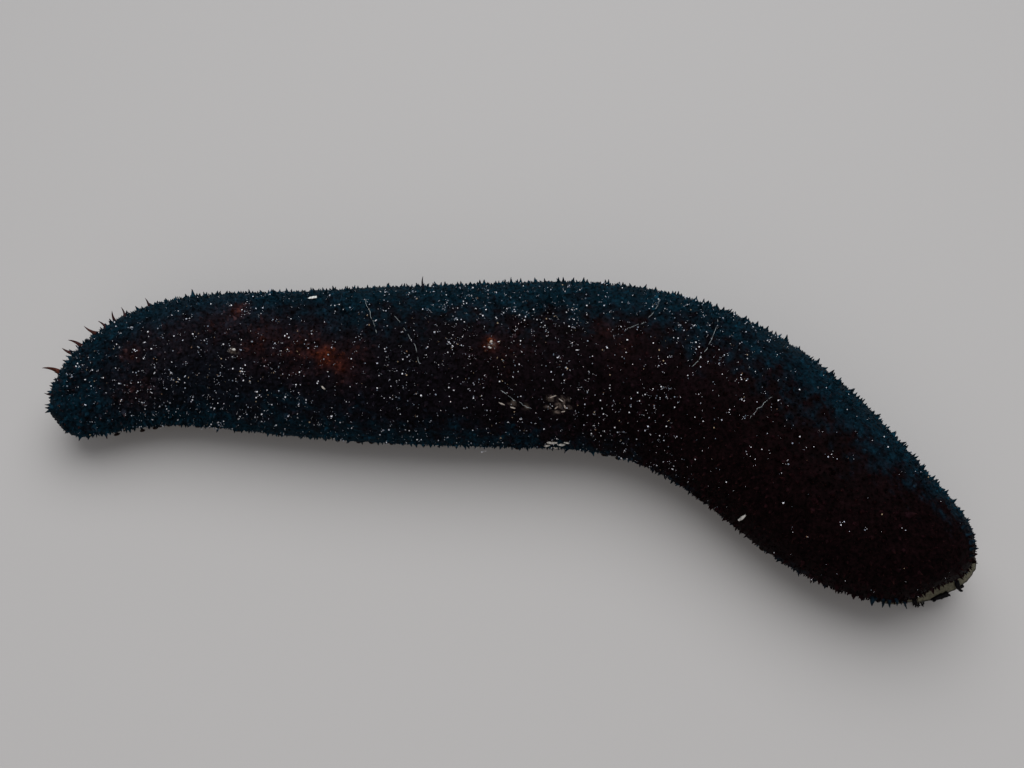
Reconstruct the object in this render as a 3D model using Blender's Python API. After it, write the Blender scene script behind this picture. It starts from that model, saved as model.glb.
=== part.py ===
"""A black sea cucumber lying on a flat floor, at life size.

The body runs from its rear tip, at share 0 of its length, to its front tip, at share 1, as rings
square to a centre line that bends in plan. It is parted into five lengths, each with a back that
carries papillae and a sole that carries tube feet. The mouth with its feeding tentacles sits in a
socket under the front end, and the vent closes the rear tip. Metres, +Z up, floor at z = 0.
"""

import math
import random

import bmesh
import bpy
from mathutils import Matrix, Vector

# The centre line in plan. Turns are in degrees, and shares are of the body's length. The rear end
# comes in from one side, the front bends to the other, and its last piece swings back.
BODY_LENGTH = 0.2804
MIDDLE_HEADING = -1.5
MIDDLE_BEND = 17.0
MIDDLE_SHARE = 0.40
REAR_TURN = 54.0
REAR_TURN_END = 0.213
FRONT_TURN = -56.5
FRONT_TURN_START = 0.497
FRONT_TURN_END = 0.84
TIP_TURN = 37.0
TIP_TURN_START = 0.848
CENTRE_STEPS = 800

# Where the rear tip stands, which puts the middle of the whole outline over the origin.
REAR_TIP_X = -0.1231
REAR_TIP_Y = 0.0077

# The cross-section: nearly round above, flattened below, and drawn in at a slight waist.
REAR_HALF_WIDTH = 0.0199
FRONT_HALF_WIDTH = 0.0261
WIDEST_SHARE = 0.82
WAIST = 0.05
WAIST_SHARE = 0.21
WAIST_REACH = 0.116
HEIGHT_PER_WIDTH = 0.80
WIDEST_HEIGHT_SHARE = 0.46
BELLY_POWER = 2.6
SOLE_CLEARANCE = 0.0008
RING_POINTS = 30
RING_SPACING = 0.0075
END_RING_DENSITY = 1.5
NORMAL_STEP_SHARE = 0.002
NORMAL_STEP_ANGLE = 0.02

# The rounded ends, and the lift of the front end's underside that leaves room for the mouth.
REAR_ROUND = 0.243
REAR_POWER = 2.3
FRONT_ROUND = 0.32
FRONT_POWER = 2.6
TIP_HEIGHT = 0.013
ORAL_LIFT = 0.0015
ORAL_LIFT_START = 0.85
ORAL_LIFT_END = 0.95
VENT_FACE_SHARE = 0.006

# Where the body is parted along its length, and the gap that touching pieces keep.
GAP = 0.0004
LENGTHS = {
    "anal": (VENT_FACE_SHARE, 0.16),
    "rear": (0.16, 0.38),
    "middle": (0.38, 0.60),
    "front": (0.60, 0.82),
    "oral": (0.82, 1.0),
}
BACK_NAMES = {
    "anal": "anal_end",
    "rear": "rear_trunk",
    "middle": "middle_trunk",
    "front": "front_trunk",
    "oral": "oral_end",
}
SOLE_TOP = 0.0048
SOLE_REAR_END = 0.070
SOLE_FRONT_END = 0.893

# Papillae: pointed cones over the back and flanks, longest on the rear end.
PAPILLA_SPACING = 0.0071
PAPILLA_HEIGHT = 0.0023
PAPILLA_REAR_GAIN = 0.85
PAPILLA_REAR_REACH = 0.14
PAPILLA_RADIUS = 0.00115
PAPILLA_SIDES = 5
PAPILLA_SUNK = 0.0013
PAPILLA_LOWEST_ROOT = 0.0072
PAPILLA_LOWEST_TIP = 0.0012
PAPILLA_LEAN = 0.20
PAPILLA_SIZES = (0.82, 1.18)
PAPILLA_STRAY_ALONG = 0.22
PAPILLA_STRAY_AROUND = 0.05
PAPILLA_BELOW_FLANK = 0.9
PAPILLA_EDGE_CLEARANCE = 0.0015
LAST_PAPILLA_SHARE = 0.993
PAPILLA_SEED = 11

# Tube feet under the sole, each ending in a small flat disc on the floor.
FOOT_SPACING = 0.0088
FOOT_TOP_RADIUS = 0.00075
FOOT_DISC_RADIUS = 0.00115
FOOT_SIDES = 6
FOOT_SUNK = 0.0012
FOOT_LONGEST = 0.0026
FOOT_REACH = 0.62
FOOT_STRAY = 0.13
FOOT_EDGE_CLEARANCE = 0.0018
FOOT_END_CLEARANCE = 0.008
FOOT_SEED = 5

# The mouth bulb, turned about an upright axis, in a round socket under the front end.
MOUTH_SHARE = 0.94
MOUTH_NECK_RADIUS = 0.0052
MOUTH_DISC_RADIUS = 0.0036
MOUTH_DISC_ROUND = 0.0015
MOUTH_DISC_RISE = 0.0008
MOUTH_BOTTOM = 0.0022
MOUTH_BULGE = 0.0044
MOUTH_TOP = 0.0088
MOUTH_PIT_RADIUS = 0.0012
MOUTH_PIT_DEPTH = 0.0015
MOUTH_PIT_LIP = 0.0003
MOUTH_PIT_FLARE = 0.0006
MOUTH_SIDES = 24

# Feeding tentacles: a stalk that bends down to the floor and a lobed shield at its end. They
# reach furthest ahead and a little to one side, where they come out from under the front end.
TENTACLES = 20
TENTACLE_REACH = 0.0088
TENTACLE_FAR_GAIN = 0.0070
TENTACLE_FAR_ANGLE = -20.0
TENTACLE_STRAY = 0.04
TENTACLE_STAGGER = 0.0013
TENTACLE_ROOT_RADIUS = 0.0040
TENTACLE_ROOT_HEIGHT = 0.0036
TENTACLE_SEED = 3
STALK_RADIUS = 0.0010
STALK_TIP_RADIUS = 0.0007
STALK_SIDES = 5
STALK_STEPS = 4
STALK_DROP = 1.15
STALK_END_HEIGHT = 0.00088
SHIELD_SHARE = 0.155
SHIELD_LARGEST = 0.0019
SHIELD_THICKNESS = 0.0016
SHIELD_LOBES = 5
SHIELD_NOTCH = 0.72
SHIELD_PROFILE = ((0.80, 0.0), (1.0, 0.45), (0.55, 1.0))

# The vent: a short puckered ring on the rear tip, with an open pit. Its profile runs from the
# root over the lip into the pit, as shares of its radius and length.
VENT_LENGTH = 0.0024
VENT_RADIUS = 0.0040
VENT_PROFILE = ((1.0, 0.0), (0.98, 0.45), (0.75, 0.90), (0.52, 1.0), (0.32, 0.85), (0.23, 0.25))
VENT_FOLDED_RINGS = (1, 2, 3)
VENT_FOLDS = 10
VENT_FOLD_DEPTH = 0.10

# Finishes: sRGB colour, roughness and metallic value.
BACK_FINISH = ((0.050, 0.038, 0.036), 0.62, 0.0)
SOLE_FINISH = ((0.115, 0.090, 0.078), 0.60, 0.0)
MOUTH_FINISH = ((0.300, 0.290, 0.210), 0.50, 0.0)
VENT_FINISH = ((0.085, 0.055, 0.050), 0.55, 0.0)
SHARP_ANGLE = 40.0


def clamp01(value):
    return min(1.0, max(0.0, value))


def ease(value):
    value = clamp01(value)
    return value * value * (3.0 - 2.0 * value)


def heading(share):
    """Direction of the centre line, in radians from +X."""
    degrees = MIDDLE_HEADING + MIDDLE_BEND * (share - MIDDLE_SHARE)
    degrees += REAR_TURN * (1.0 - ease(share / REAR_TURN_END))
    degrees += FRONT_TURN * ease((share - FRONT_TURN_START) / (FRONT_TURN_END - FRONT_TURN_START))
    degrees += TIP_TURN * ease((share - TIP_TURN_START) / (1.0 - TIP_TURN_START))
    return math.radians(degrees)


def centre_line():
    """Points of the centre line at equal shares, from the rear tip at (0, 0)."""
    step = BODY_LENGTH / CENTRE_STEPS
    points = [Vector((0.0, 0.0, 0.0))]
    for i in range(CENTRE_STEPS):
        angle = heading((i + 0.5) / CENTRE_STEPS)
        points.append(points[-1] + Vector((math.cos(angle), math.sin(angle), 0.0)) * step)
    return points


CENTRE = centre_line()


def centre(share):
    place = clamp01(share) * CENTRE_STEPS
    i = min(int(place), CENTRE_STEPS - 1)
    return CENTRE[i].lerp(CENTRE[i + 1], place - i)


def forward(share):
    angle = heading(share)
    return Vector((math.cos(angle), math.sin(angle), 0.0))


def sideways(share):
    angle = heading(share)
    return Vector((-math.sin(angle), math.cos(angle), 0.0))


def round_off(depth, power):
    """How full the section is at a depth of 0 to 1 into a rounded end."""
    return max(0.0, 1.0 - (1.0 - clamp01(depth)) ** power) ** (1.0 / power)


def section(share):
    """Half width, heights above and below the widest level, and that level's height."""
    grow = math.sin(math.pi / 2.0 * min(share / WIDEST_SHARE, 1.0))
    half_width = REAR_HALF_WIDTH + (FRONT_HALF_WIDTH - REAR_HALF_WIDTH) * grow
    half_width *= 1.0 - WAIST * math.exp(-(((share - WAIST_SHARE) / WAIST_REACH) ** 2))
    height = 2.0 * half_width * HEIGHT_PER_WIDTH
    full = round_off(share / REAR_ROUND, REAR_POWER) * round_off((1.0 - share) / FRONT_ROUND, FRONT_POWER)
    below = WIDEST_HEIGHT_SHARE * height
    level = SOLE_CLEARANCE + below - (below - TIP_HEIGHT) * (1.0 - full)
    level += ORAL_LIFT * ease((share - ORAL_LIFT_START) / (ORAL_LIFT_END - ORAL_LIFT_START))
    return half_width * full, (height - below) * full, below * full, level


def surface_point(share, angle):
    """A point of the skin; the angle is 0 at one flank, 90 degrees on top and 180 at the other."""
    half_width, above, below, level = section(share)
    cosine, sine = math.cos(angle), math.sin(angle)
    if sine >= 0.0:
        across, height = half_width * cosine, level + above * sine
    else:
        power = 2.0 / BELLY_POWER
        across = half_width * math.copysign(abs(cosine) ** power, cosine)
        height = level - below * abs(sine) ** power
    point = centre(share) + sideways(share) * across
    point.z = height
    return point


def surface_normal(share, angle):
    before = surface_point(share - NORMAL_STEP_SHARE, angle)
    after = surface_point(min(share + NORMAL_STEP_SHARE, 1.0), angle)
    lower = surface_point(share, angle - NORMAL_STEP_ANGLE)
    upper = surface_point(share, angle + NORMAL_STEP_ANGLE)
    return (upper - lower).cross(after - before).normalized()


def ring_shares(start, end):
    """Shares of the rings of one length, closer together where an end rounds off."""
    steps = round((end - start) * BODY_LENGTH / RING_SPACING)
    end_steps = round((end - start) * BODY_LENGTH * END_RING_DENSITY / RING_SPACING)
    if end <= REAR_ROUND:
        first, last = math.acos(1.0 - start / REAR_ROUND), math.acos(1.0 - end / REAR_ROUND)
        turns = [first + (last - first) * i / end_steps for i in range(end_steps + 1)]
        return [REAR_ROUND * (1.0 - math.cos(turn)) for turn in turns]
    if end >= 1.0:
        first = math.acos(1.0 - (1.0 - start) / FRONT_ROUND)
        turns = [first * (1.0 - i / end_steps) for i in range(end_steps + 1)]
        return [1.0 - FRONT_ROUND * (1.0 - math.cos(turn)) for turn in turns]
    return [start + (end - start) * i / steps for i in range(steps + 1)]


def body_length(start, end):
    """One whole length of the body as a closed bmesh with flat cut ends."""
    bm = bmesh.new()
    half_gap = GAP / 2.0 / BODY_LENGTH
    from_share = start if start <= VENT_FACE_SHARE else start + half_gap
    to_share = end if end >= 1.0 else end - half_gap
    rings = []
    for share in ring_shares(from_share, to_share):
        if share >= 1.0 - 1e-6:
            rings.append([bm.verts.new(surface_point(1.0, 0.0))])
            continue
        angles = [2.0 * math.pi * i / RING_POINTS for i in range(RING_POINTS)]
        rings.append([bm.verts.new(surface_point(share, angle)) for angle in angles])
    for ring, following in zip(rings, rings[1:]):
        for i in range(RING_POINTS):
            j = (i + 1) % RING_POINTS
            if len(following) == 1:
                bm.faces.new((ring[i], ring[j], following[0]))
            else:
                bm.faces.new((ring[i], ring[j], following[j], following[i]))
    bm.faces.new(rings[0])
    if len(rings[-1]) > 1:
        bm.faces.new(rings[-1])
    bmesh.ops.recalc_face_normals(bm, faces=bm.faces)
    return bm


def slice_off(bm, point, outward):
    """Cut away what lies past a plane and close the cut with a flat face."""
    geometry = bm.verts[:] + bm.edges[:] + bm.faces[:]
    bmesh.ops.bisect_plane(bm, geom=geometry, plane_co=point, plane_no=outward, clear_outer=True)
    rim = [edge for edge in bm.edges if edge.is_boundary]
    if rim:
        bmesh.ops.holes_fill(bm, edges=rim)
    bmesh.ops.recalc_face_normals(bm, faces=bm.faces)


def papilla(root, direction, length, turn):
    """A pointed cone that starts below the skin, as a closed bmesh."""
    bm = bmesh.new()
    bmesh.ops.create_cone(
        bm,
        cap_ends=True,
        segments=PAPILLA_SIDES,
        radius1=PAPILLA_RADIUS * (1.0 + PAPILLA_SUNK / length),
        radius2=0.0,
        depth=length + PAPILLA_SUNK,
    )
    bmesh.ops.remove_doubles(bm, verts=bm.verts, dist=1e-6)
    frame = direction.to_track_quat("Z", "X").to_matrix().to_4x4()
    middle = root + direction * (length - PAPILLA_SUNK) / 2.0
    place = Matrix.Translation(middle) @ frame @ Matrix.Rotation(turn, 4, "Z")
    bmesh.ops.transform(bm, matrix=place, verts=bm.verts)
    return bm


def to_object(name, bm):
    mesh = bpy.data.meshes.new(name)
    bm.to_mesh(mesh)
    bm.free()
    item = bpy.data.objects.new(name, mesh)
    bpy.context.collection.objects.link(item)
    return item


def largest_surface(bm):
    """Delete all but the closed surface that reaches furthest."""
    left = set(bm.verts)
    groups = []
    while left:
        group, queue = set(), [left.pop()]
        while queue:
            vert = queue.pop()
            group.add(vert)
            for edge in vert.link_edges:
                other = edge.other_vert(vert)
                if other in left:
                    left.discard(other)
                    queue.append(other)
        groups.append(group)

    def reach(group):
        spans = [max(v.co[axis] for v in group) - min(v.co[axis] for v in group) for axis in range(3)]
        return spans[0] * spans[1] * spans[2]

    groups.sort(key=reach)
    for group in groups[:-1]:
        bmesh.ops.delete(bm, geom=list(group), context="VERTS")


def joined(name, core, additions):
    """One closed solid: the core with all the additions fused on by one Boolean union."""
    node = to_object(name, core)
    if not additions:
        return node
    group = bpy.data.collections.new(name + "_additions")
    bpy.context.scene.collection.children.link(group)
    for i, bm in enumerate(additions):
        item = to_object(f"{name}_addition_{i}", bm)
        bpy.context.collection.objects.unlink(item)
        group.objects.link(item)
    union = node.modifiers.new("union", "BOOLEAN")
    union.operation = "UNION"
    union.operand_type = "COLLECTION"
    union.collection = group
    union.solver = "EXACT"
    bpy.context.view_layer.update()
    depsgraph = bpy.context.evaluated_depsgraph_get()
    result = bpy.data.meshes.new_from_object(node.evaluated_get(depsgraph))
    node.modifiers.clear()
    node.data = result
    for item in list(group.objects):
        bpy.data.objects.remove(item)
    bpy.data.collections.remove(group)
    bm = bmesh.new()
    bm.from_mesh(result)
    largest_surface(bm)
    bm.to_mesh(result)
    bm.free()
    return node


def clear_of_cuts(point, start, end, clearance):
    """Whether a point keeps its distance from the cut planes at both ends of a length."""
    if end < 1.0 and (point - centre(end)).dot(forward(end)) > -clearance:
        return False
    if start > VENT_FACE_SHARE and (point - centre(start)).dot(forward(start)) < clearance:
        return False
    return True


def spaced_shares(start, end, spacing, angle=math.pi / 2.0):
    """Shares a set distance apart along the skin's line at one angle."""
    shares = []
    travelled, wanted = 0.0, spacing / 2.0
    steps = 400
    before = surface_point(start, angle)
    for i in range(1, steps + 1):
        share = start + (end - start) * i / steps
        point = surface_point(share, angle)
        travelled += (point - before).length
        before = point
        if travelled >= wanted:
            shares.append(share)
            wanted += spacing
    return shares


def around_back(share, spacing, offset):
    """Angles a set distance apart around one ring's back and flanks."""
    steps = 120
    low, high = -PAPILLA_BELOW_FLANK, math.pi + PAPILLA_BELOW_FLANK
    lengths = [0.0]
    angles = [low + (high - low) * i / steps for i in range(steps + 1)]
    for a, b in zip(angles, angles[1:]):
        lengths.append(lengths[-1] + (surface_point(share, b) - surface_point(share, a)).length)
    count = max(1, round(lengths[-1] / spacing))
    result = []
    for k in range(count):
        wanted = lengths[-1] * (k + offset) / count
        i = next((n for n in range(steps) if lengths[n + 1] >= wanted), steps - 1)
        part_way = (wanted - lengths[i]) / (lengths[i + 1] - lengths[i])
        result.append(angles[i] + (angles[i + 1] - angles[i]) * part_way)
    return result


def papillae(start, end, draw):
    """Cones over the back of one length, set in staggered rows and varied in size and lean."""
    cones = []
    stray = PAPILLA_STRAY_ALONG * PAPILLA_SPACING / BODY_LENGTH
    for row, row_share in enumerate(spaced_shares(start, min(end, LAST_PAPILLA_SHARE), PAPILLA_SPACING)):
        for base_angle in around_back(row_share, PAPILLA_SPACING, 0.25 + 0.5 * (row % 2)):
            share = clamp01(row_share + draw.uniform(-stray, stray))
            angle = base_angle + draw.uniform(-PAPILLA_STRAY_AROUND, PAPILLA_STRAY_AROUND)
            size = draw.uniform(*PAPILLA_SIZES)
            lean = Vector((draw.uniform(-1, 1), draw.uniform(-1, 1), draw.uniform(-1, 1))) * PAPILLA_LEAN
            turn = draw.uniform(0.0, math.pi)
            rear = 1.0 - ease(share / PAPILLA_REAR_REACH)
            length = PAPILLA_HEIGHT * size * (1.0 + PAPILLA_REAR_GAIN * rear)
            root = surface_point(share, angle)
            direction = (surface_normal(share, angle) + lean).normalized()
            tip = root + direction * length
            if root.z < PAPILLA_LOWEST_ROOT or tip.z < PAPILLA_LOWEST_TIP:
                continue
            if not clear_of_cuts(root, start, end, PAPILLA_EDGE_CLEARANCE):
                continue
            if not clear_of_cuts(tip, start, end, PAPILLA_EDGE_CLEARANCE / 2.0):
                continue
            if not 2.0 * VENT_FACE_SHARE < share < LAST_PAPILLA_SHARE:
                continue
            cones.append(papilla(root, direction, length, turn))
    return cones


def tube_feet(start, end, draw):
    """Pegs from the sole down to small flat discs that stand on the floor."""
    feet = []
    stray = FOOT_STRAY * FOOT_SPACING
    rows = spaced_shares(max(start, SOLE_REAR_END), min(end, SOLE_FRONT_END), FOOT_SPACING, -math.pi / 2.0)
    for row, row_share in enumerate(rows):
        reach = FOOT_REACH * section(row_share)[0]
        shift = stray if row % 2 else -stray
        count = max(1, round(2.0 * reach / FOOT_SPACING))
        for k in range(count):
            place = (k + 0.5) / count * 2.0 - 1.0
            across = reach * place + shift + draw.uniform(-stray, stray)
            share = row_share + draw.uniform(-stray, stray) / BODY_LENGTH
            turn = draw.uniform(0.0, math.pi)
            sole_height = height_of_sole(share, across)
            foot = centre(share) + sideways(share) * across
            if sole_height > FOOT_LONGEST or not clear_of_cuts(foot, start, end, FOOT_EDGE_CLEARANCE):
                continue
            if not SOLE_REAR_END + FOOT_END_CLEARANCE < share < SOLE_FRONT_END - FOOT_END_CLEARANCE:
                continue
            feet.append(tube_foot(foot, sole_height, turn))
    return feet


def height_of_sole(share, across):
    """Height of the underside at a distance across from the centre line."""
    half_width, _, below, level = section(share)
    ratio = min(abs(across) / half_width, 0.999)
    cosine = ratio ** (BELLY_POWER / 2.0)
    sine = math.sqrt(1.0 - cosine * cosine)
    return level - below * sine ** (2.0 / BELLY_POWER)


def tube_foot(place, sole_height, turn):
    """A peg that widens to the flat disc it stands on."""
    bm = bmesh.new()
    rings = []
    for height, radius in ((sole_height + FOOT_SUNK, FOOT_TOP_RADIUS), (0.0, FOOT_DISC_RADIUS)):
        ring = []
        for i in range(FOOT_SIDES):
            angle = turn + 2.0 * math.pi * i / FOOT_SIDES
            offset = Vector((radius * math.cos(angle), radius * math.sin(angle), height))
            ring.append(bm.verts.new(place + offset))
        rings.append(ring)
    close_rings(bm, rings)
    return bm


def close_rings(bm, rings):
    """Faces between rings of like count, with a flat face on each end."""
    for ring, following in zip(rings, rings[1:]):
        count = len(ring)
        for i in range(count):
            j = (i + 1) % count
            bm.faces.new((ring[i], ring[j], following[j], following[i]))
    bm.faces.new(rings[0])
    bm.faces.new(rings[-1])
    bmesh.ops.recalc_face_normals(bm, faces=bm.faces)


def back_of(key, draw):
    start, end = LENGTHS[key]
    core = body_length(start, end)
    slice_off(core, Vector((0.0, 0.0, SOLE_TOP + GAP)), Vector((0.0, 0.0, -1.0)))
    node = joined(BACK_NAMES[key], core, papillae(start, end, draw))
    if key == "oral":
        cut_socket(node)
    return node


def sole_of(key, draw):
    start, end = LENGTHS[key]
    core = body_length(start, end)
    slice_off(core, Vector((0.0, 0.0, SOLE_TOP)), Vector((0.0, 0.0, 1.0)))
    if key == "anal":
        slice_off(core, centre(SOLE_REAR_END), -forward(SOLE_REAR_END))
    if key == "oral":
        slice_off(core, centre(SOLE_FRONT_END), forward(SOLE_FRONT_END))
    return joined(key + "_sole", core, tube_feet(start, end, draw))


def cut_socket(node):
    """A round blind hole under the front end that the mouth bulb sits in."""
    bm = bmesh.new()
    depth = MOUTH_TOP + GAP
    bmesh.ops.create_cone(
        bm,
        cap_ends=True,
        segments=MOUTH_SIDES,
        radius1=MOUTH_NECK_RADIUS + GAP,
        radius2=MOUTH_NECK_RADIUS + GAP,
        depth=depth,
    )
    place = centre(MOUTH_SHARE)
    bmesh.ops.translate(bm, vec=Vector((place.x, place.y, depth / 2.0)), verts=bm.verts)
    cutter = to_object("mouth_socket_cutter", bm)
    cut = node.modifiers.new("socket", "BOOLEAN")
    cut.operation = "DIFFERENCE"
    cut.object = cutter
    bpy.context.view_layer.update()
    depsgraph = bpy.context.evaluated_depsgraph_get()
    result = bpy.data.meshes.new_from_object(node.evaluated_get(depsgraph))
    node.modifiers.clear()
    node.data = result
    bpy.data.objects.remove(cutter)


def turned(profile, sides, fold=None):
    """A closed solid turned about Z from (radius, height) pairs, with its two ends closed flat."""
    bm = bmesh.new()
    rings = []
    for index, (radius, height) in enumerate(profile):
        ring = []
        for i in range(sides):
            angle = 2.0 * math.pi * i / sides
            local = radius * (fold(angle, index) if fold else 1.0)
            ring.append(bm.verts.new((local * math.cos(angle), local * math.sin(angle), height)))
        rings.append(ring)
    close_rings(bm, rings)
    return bm


def mouth():
    """The bulb with its mouth opening, and the ring of tentacles, about the bulb's own axis."""
    profile = [
        (MOUTH_PIT_RADIUS, MOUTH_BOTTOM + MOUTH_PIT_DEPTH),
        (MOUTH_PIT_RADIUS, MOUTH_BOTTOM + MOUTH_PIT_LIP),
        (MOUTH_PIT_RADIUS + MOUTH_PIT_FLARE, MOUTH_BOTTOM),
        (MOUTH_DISC_RADIUS, MOUTH_BOTTOM),
        (MOUTH_DISC_RADIUS + MOUTH_DISC_ROUND, MOUTH_BOTTOM + MOUTH_DISC_RISE),
        (MOUTH_NECK_RADIUS, MOUTH_BULGE),
        (MOUTH_NECK_RADIUS, MOUTH_TOP),
    ]
    core = turned(profile, MOUTH_SIDES)
    draw = random.Random(TENTACLE_SEED)
    node = joined("mouth", core, [piece for i in range(TENTACLES) for piece in tentacle(i, draw)])
    place = centre(MOUTH_SHARE)
    node.location = (place.x, place.y, 0.0)
    node.rotation_euler = (0.0, 0.0, heading(MOUTH_SHARE))
    return node


def tentacle(index, draw):
    """A bent stalk and a lobed shield lying on the floor at its end."""
    angle = 2.0 * math.pi * (index + 0.5) / TENTACLES + draw.uniform(-TENTACLE_STRAY, TENTACLE_STRAY)
    gain = max(0.0, math.cos(angle - math.radians(TENTACLE_FAR_ANGLE))) ** 2
    stagger = TENTACLE_STAGGER if index % 2 else -TENTACLE_STAGGER
    reach = TENTACLE_REACH + TENTACLE_FAR_GAIN * gain + stagger
    outward = Vector((math.cos(angle), math.sin(angle), 0.0))
    side = Vector((-math.sin(angle), math.cos(angle), 0.0))
    up = Vector((0.0, 0.0, 1.0))
    stalk = bmesh.new()
    rings = []
    for i in range(STALK_STEPS + 1):
        share = i / STALK_STEPS
        distance = TENTACLE_ROOT_RADIUS + (reach - TENTACLE_ROOT_RADIUS) * share
        drop = (TENTACLE_ROOT_HEIGHT - STALK_END_HEIGHT) * ease(share * STALK_DROP)
        radius = STALK_RADIUS + (STALK_TIP_RADIUS - STALK_RADIUS) * share
        middle = outward * distance + up * (TENTACLE_ROOT_HEIGHT - drop)
        ring = []
        for k in range(STALK_SIDES):
            corner = 2.0 * math.pi * k / STALK_SIDES
            offset = (side * math.cos(corner) + up * math.sin(corner)) * radius
            ring.append(stalk.verts.new(middle + offset))
        rings.append(ring)
    close_rings(stalk, rings)
    return [stalk, shield(outward * reach, angle, min(reach * SHIELD_SHARE, SHIELD_LARGEST))]


def shield(place, angle, size):
    """A low lobed cushion, flat below."""
    bm = bmesh.new()
    rings = []
    for spread, rise in SHIELD_PROFILE:
        ring = []
        for k in range(2 * SHIELD_LOBES):
            turn = angle + math.pi * k / SHIELD_LOBES
            radius = size * spread * (1.0 if k % 2 == 0 else SHIELD_NOTCH)
            offset = Vector((radius * math.cos(turn), radius * math.sin(turn), rise * SHIELD_THICKNESS))
            ring.append(bm.verts.new(place + offset))
        rings.append(ring)
    close_rings(bm, rings)
    return bm


def vent():
    """A short ring gathered in folds round an open pit, standing on the flat rear face."""
    def fold(angle, index):
        depth = VENT_FOLD_DEPTH if index in VENT_FOLDED_RINGS else 0.0
        return 1.0 + depth * math.cos(VENT_FOLDS * angle)

    profile = [(VENT_RADIUS * width, VENT_LENGTH * height) for width, height in VENT_PROFILE]
    node = to_object("vent", turned(profile, 2 * VENT_FOLDS, fold))
    backward = -forward(VENT_FACE_SHARE)
    place = centre(VENT_FACE_SHARE) + backward * GAP
    place.z = section(VENT_FACE_SHARE)[3]
    node.location = place
    node.rotation_euler = backward.to_track_quat("Z", "Y").to_euler()
    return node


def finish(name, look, nodes):
    colour, roughness, metallic = look
    material = bpy.data.materials.new(name)
    material.use_nodes = True
    shader = material.node_tree.nodes["Principled BSDF"]
    linear = [((c + 0.055) / 1.055) ** 2.4 if c > 0.04045 else c / 12.92 for c in colour]
    shader.inputs["Base Color"].default_value = (*linear, 1.0)
    shader.inputs["Roughness"].default_value = roughness
    shader.inputs["Metallic"].default_value = metallic
    for node in nodes:
        node.data.materials.clear()
        node.data.materials.append(material)


def shade(node):
    node.data.shade_smooth()
    node.data.set_sharp_from_angle(angle=math.radians(SHARP_ANGLE))


def main():
    for item in list(bpy.data.objects):
        bpy.data.objects.remove(item)
    frame = bpy.data.objects.new("body_frame", None)
    bpy.context.collection.objects.link(frame)
    frame.location = (REAR_TIP_X, REAR_TIP_Y, 0.0)
    papilla_draw = random.Random(PAPILLA_SEED)
    foot_draw = random.Random(FOOT_SEED)
    backs = [back_of(key, papilla_draw) for key in LENGTHS]
    soles = [sole_of(key, foot_draw) for key in LENGTHS]
    mouth_node, vent_node = mouth(), vent()
    finish("back_skin", BACK_FINISH, backs)
    finish("sole_skin", SOLE_FINISH, soles)
    finish("mouth_and_tentacles", MOUTH_FINISH, [mouth_node])
    finish("vent_skin", VENT_FINISH, [vent_node])
    for node in backs + soles + [mouth_node, vent_node]:
        node.parent = frame
        shade(node)


main()
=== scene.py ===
import math
import random

import bmesh
import bpy
import numpy as np
from mathutils import Matrix, Vector, kdtree, noise
from mathutils.bvhtree import BVHTree


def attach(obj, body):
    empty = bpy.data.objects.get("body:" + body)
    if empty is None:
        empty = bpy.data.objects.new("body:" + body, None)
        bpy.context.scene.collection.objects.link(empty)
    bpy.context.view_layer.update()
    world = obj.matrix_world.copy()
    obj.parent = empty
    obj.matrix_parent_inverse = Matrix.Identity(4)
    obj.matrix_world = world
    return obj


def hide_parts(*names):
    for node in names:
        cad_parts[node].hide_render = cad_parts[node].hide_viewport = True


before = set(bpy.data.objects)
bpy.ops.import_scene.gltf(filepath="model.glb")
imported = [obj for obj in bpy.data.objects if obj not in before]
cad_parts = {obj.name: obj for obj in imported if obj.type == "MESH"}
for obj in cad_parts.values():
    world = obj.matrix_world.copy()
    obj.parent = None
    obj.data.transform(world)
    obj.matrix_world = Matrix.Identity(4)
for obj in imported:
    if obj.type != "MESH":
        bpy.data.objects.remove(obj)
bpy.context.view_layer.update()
print("stage: frame loaded,", len(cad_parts), "nodes")

noise.seed_set(17)  # noise_vector would start from the clock without it
upward = np.array((0.0, 0.0, 1.0))


# Colours are sRGB hex, turned to the linear values that sockets hold.
def hexColour(text):
    values = [int(text[i:i + 2], 16) / 255.0 for i in (1, 3, 5)]
    return (*[v / 12.92 if v <= 0.04045 else ((v + 0.055) / 1.055) ** 2.4 for v in values], 1.0)


# Sets a node's inputs, each to a value or from the socket that feeds it.
def setInputs(tree, node, inputs):
    for key, value in inputs.items():
        if isinstance(value, bpy.types.NodeSocket):
            tree.links.new(value, node.inputs[key])
        else:
            node.inputs[key].default_value = value


# Adds one node with its settings and its inputs.
def addNode(tree, kind, inputs=None, **settings):
    node = tree.nodes.new(kind)
    for name, value in settings.items():
        setattr(node, name, value)
    setInputs(tree, node, inputs or {})
    return node


def newMaterial(name):
    material = bpy.data.materials.new(name)
    material.use_nodes = True
    return material


def finishMaterial(material, inputs):
    setInputs(material.node_tree, material.node_tree.nodes["Principled BSDF"], inputs)
    return material


# Lays a colour over another where a named attribute of the piece goes from low to high.
def addLayer(tree, under, over, name, low=0.0, high=1.0):
    mark = addNode(tree, "ShaderNodeAttribute", attribute_name=name).outputs["Fac"]
    amount = addNode(tree, "ShaderNodeMapRange", {"Value": mark, "From Min": low, "From Max": high})
    mix = addNode(tree, "ShaderNodeMix", {0: amount.outputs[0], 6: under, 7: hexColour(over)},
                  data_type="RGBA")
    return mix.outputs[2]


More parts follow.
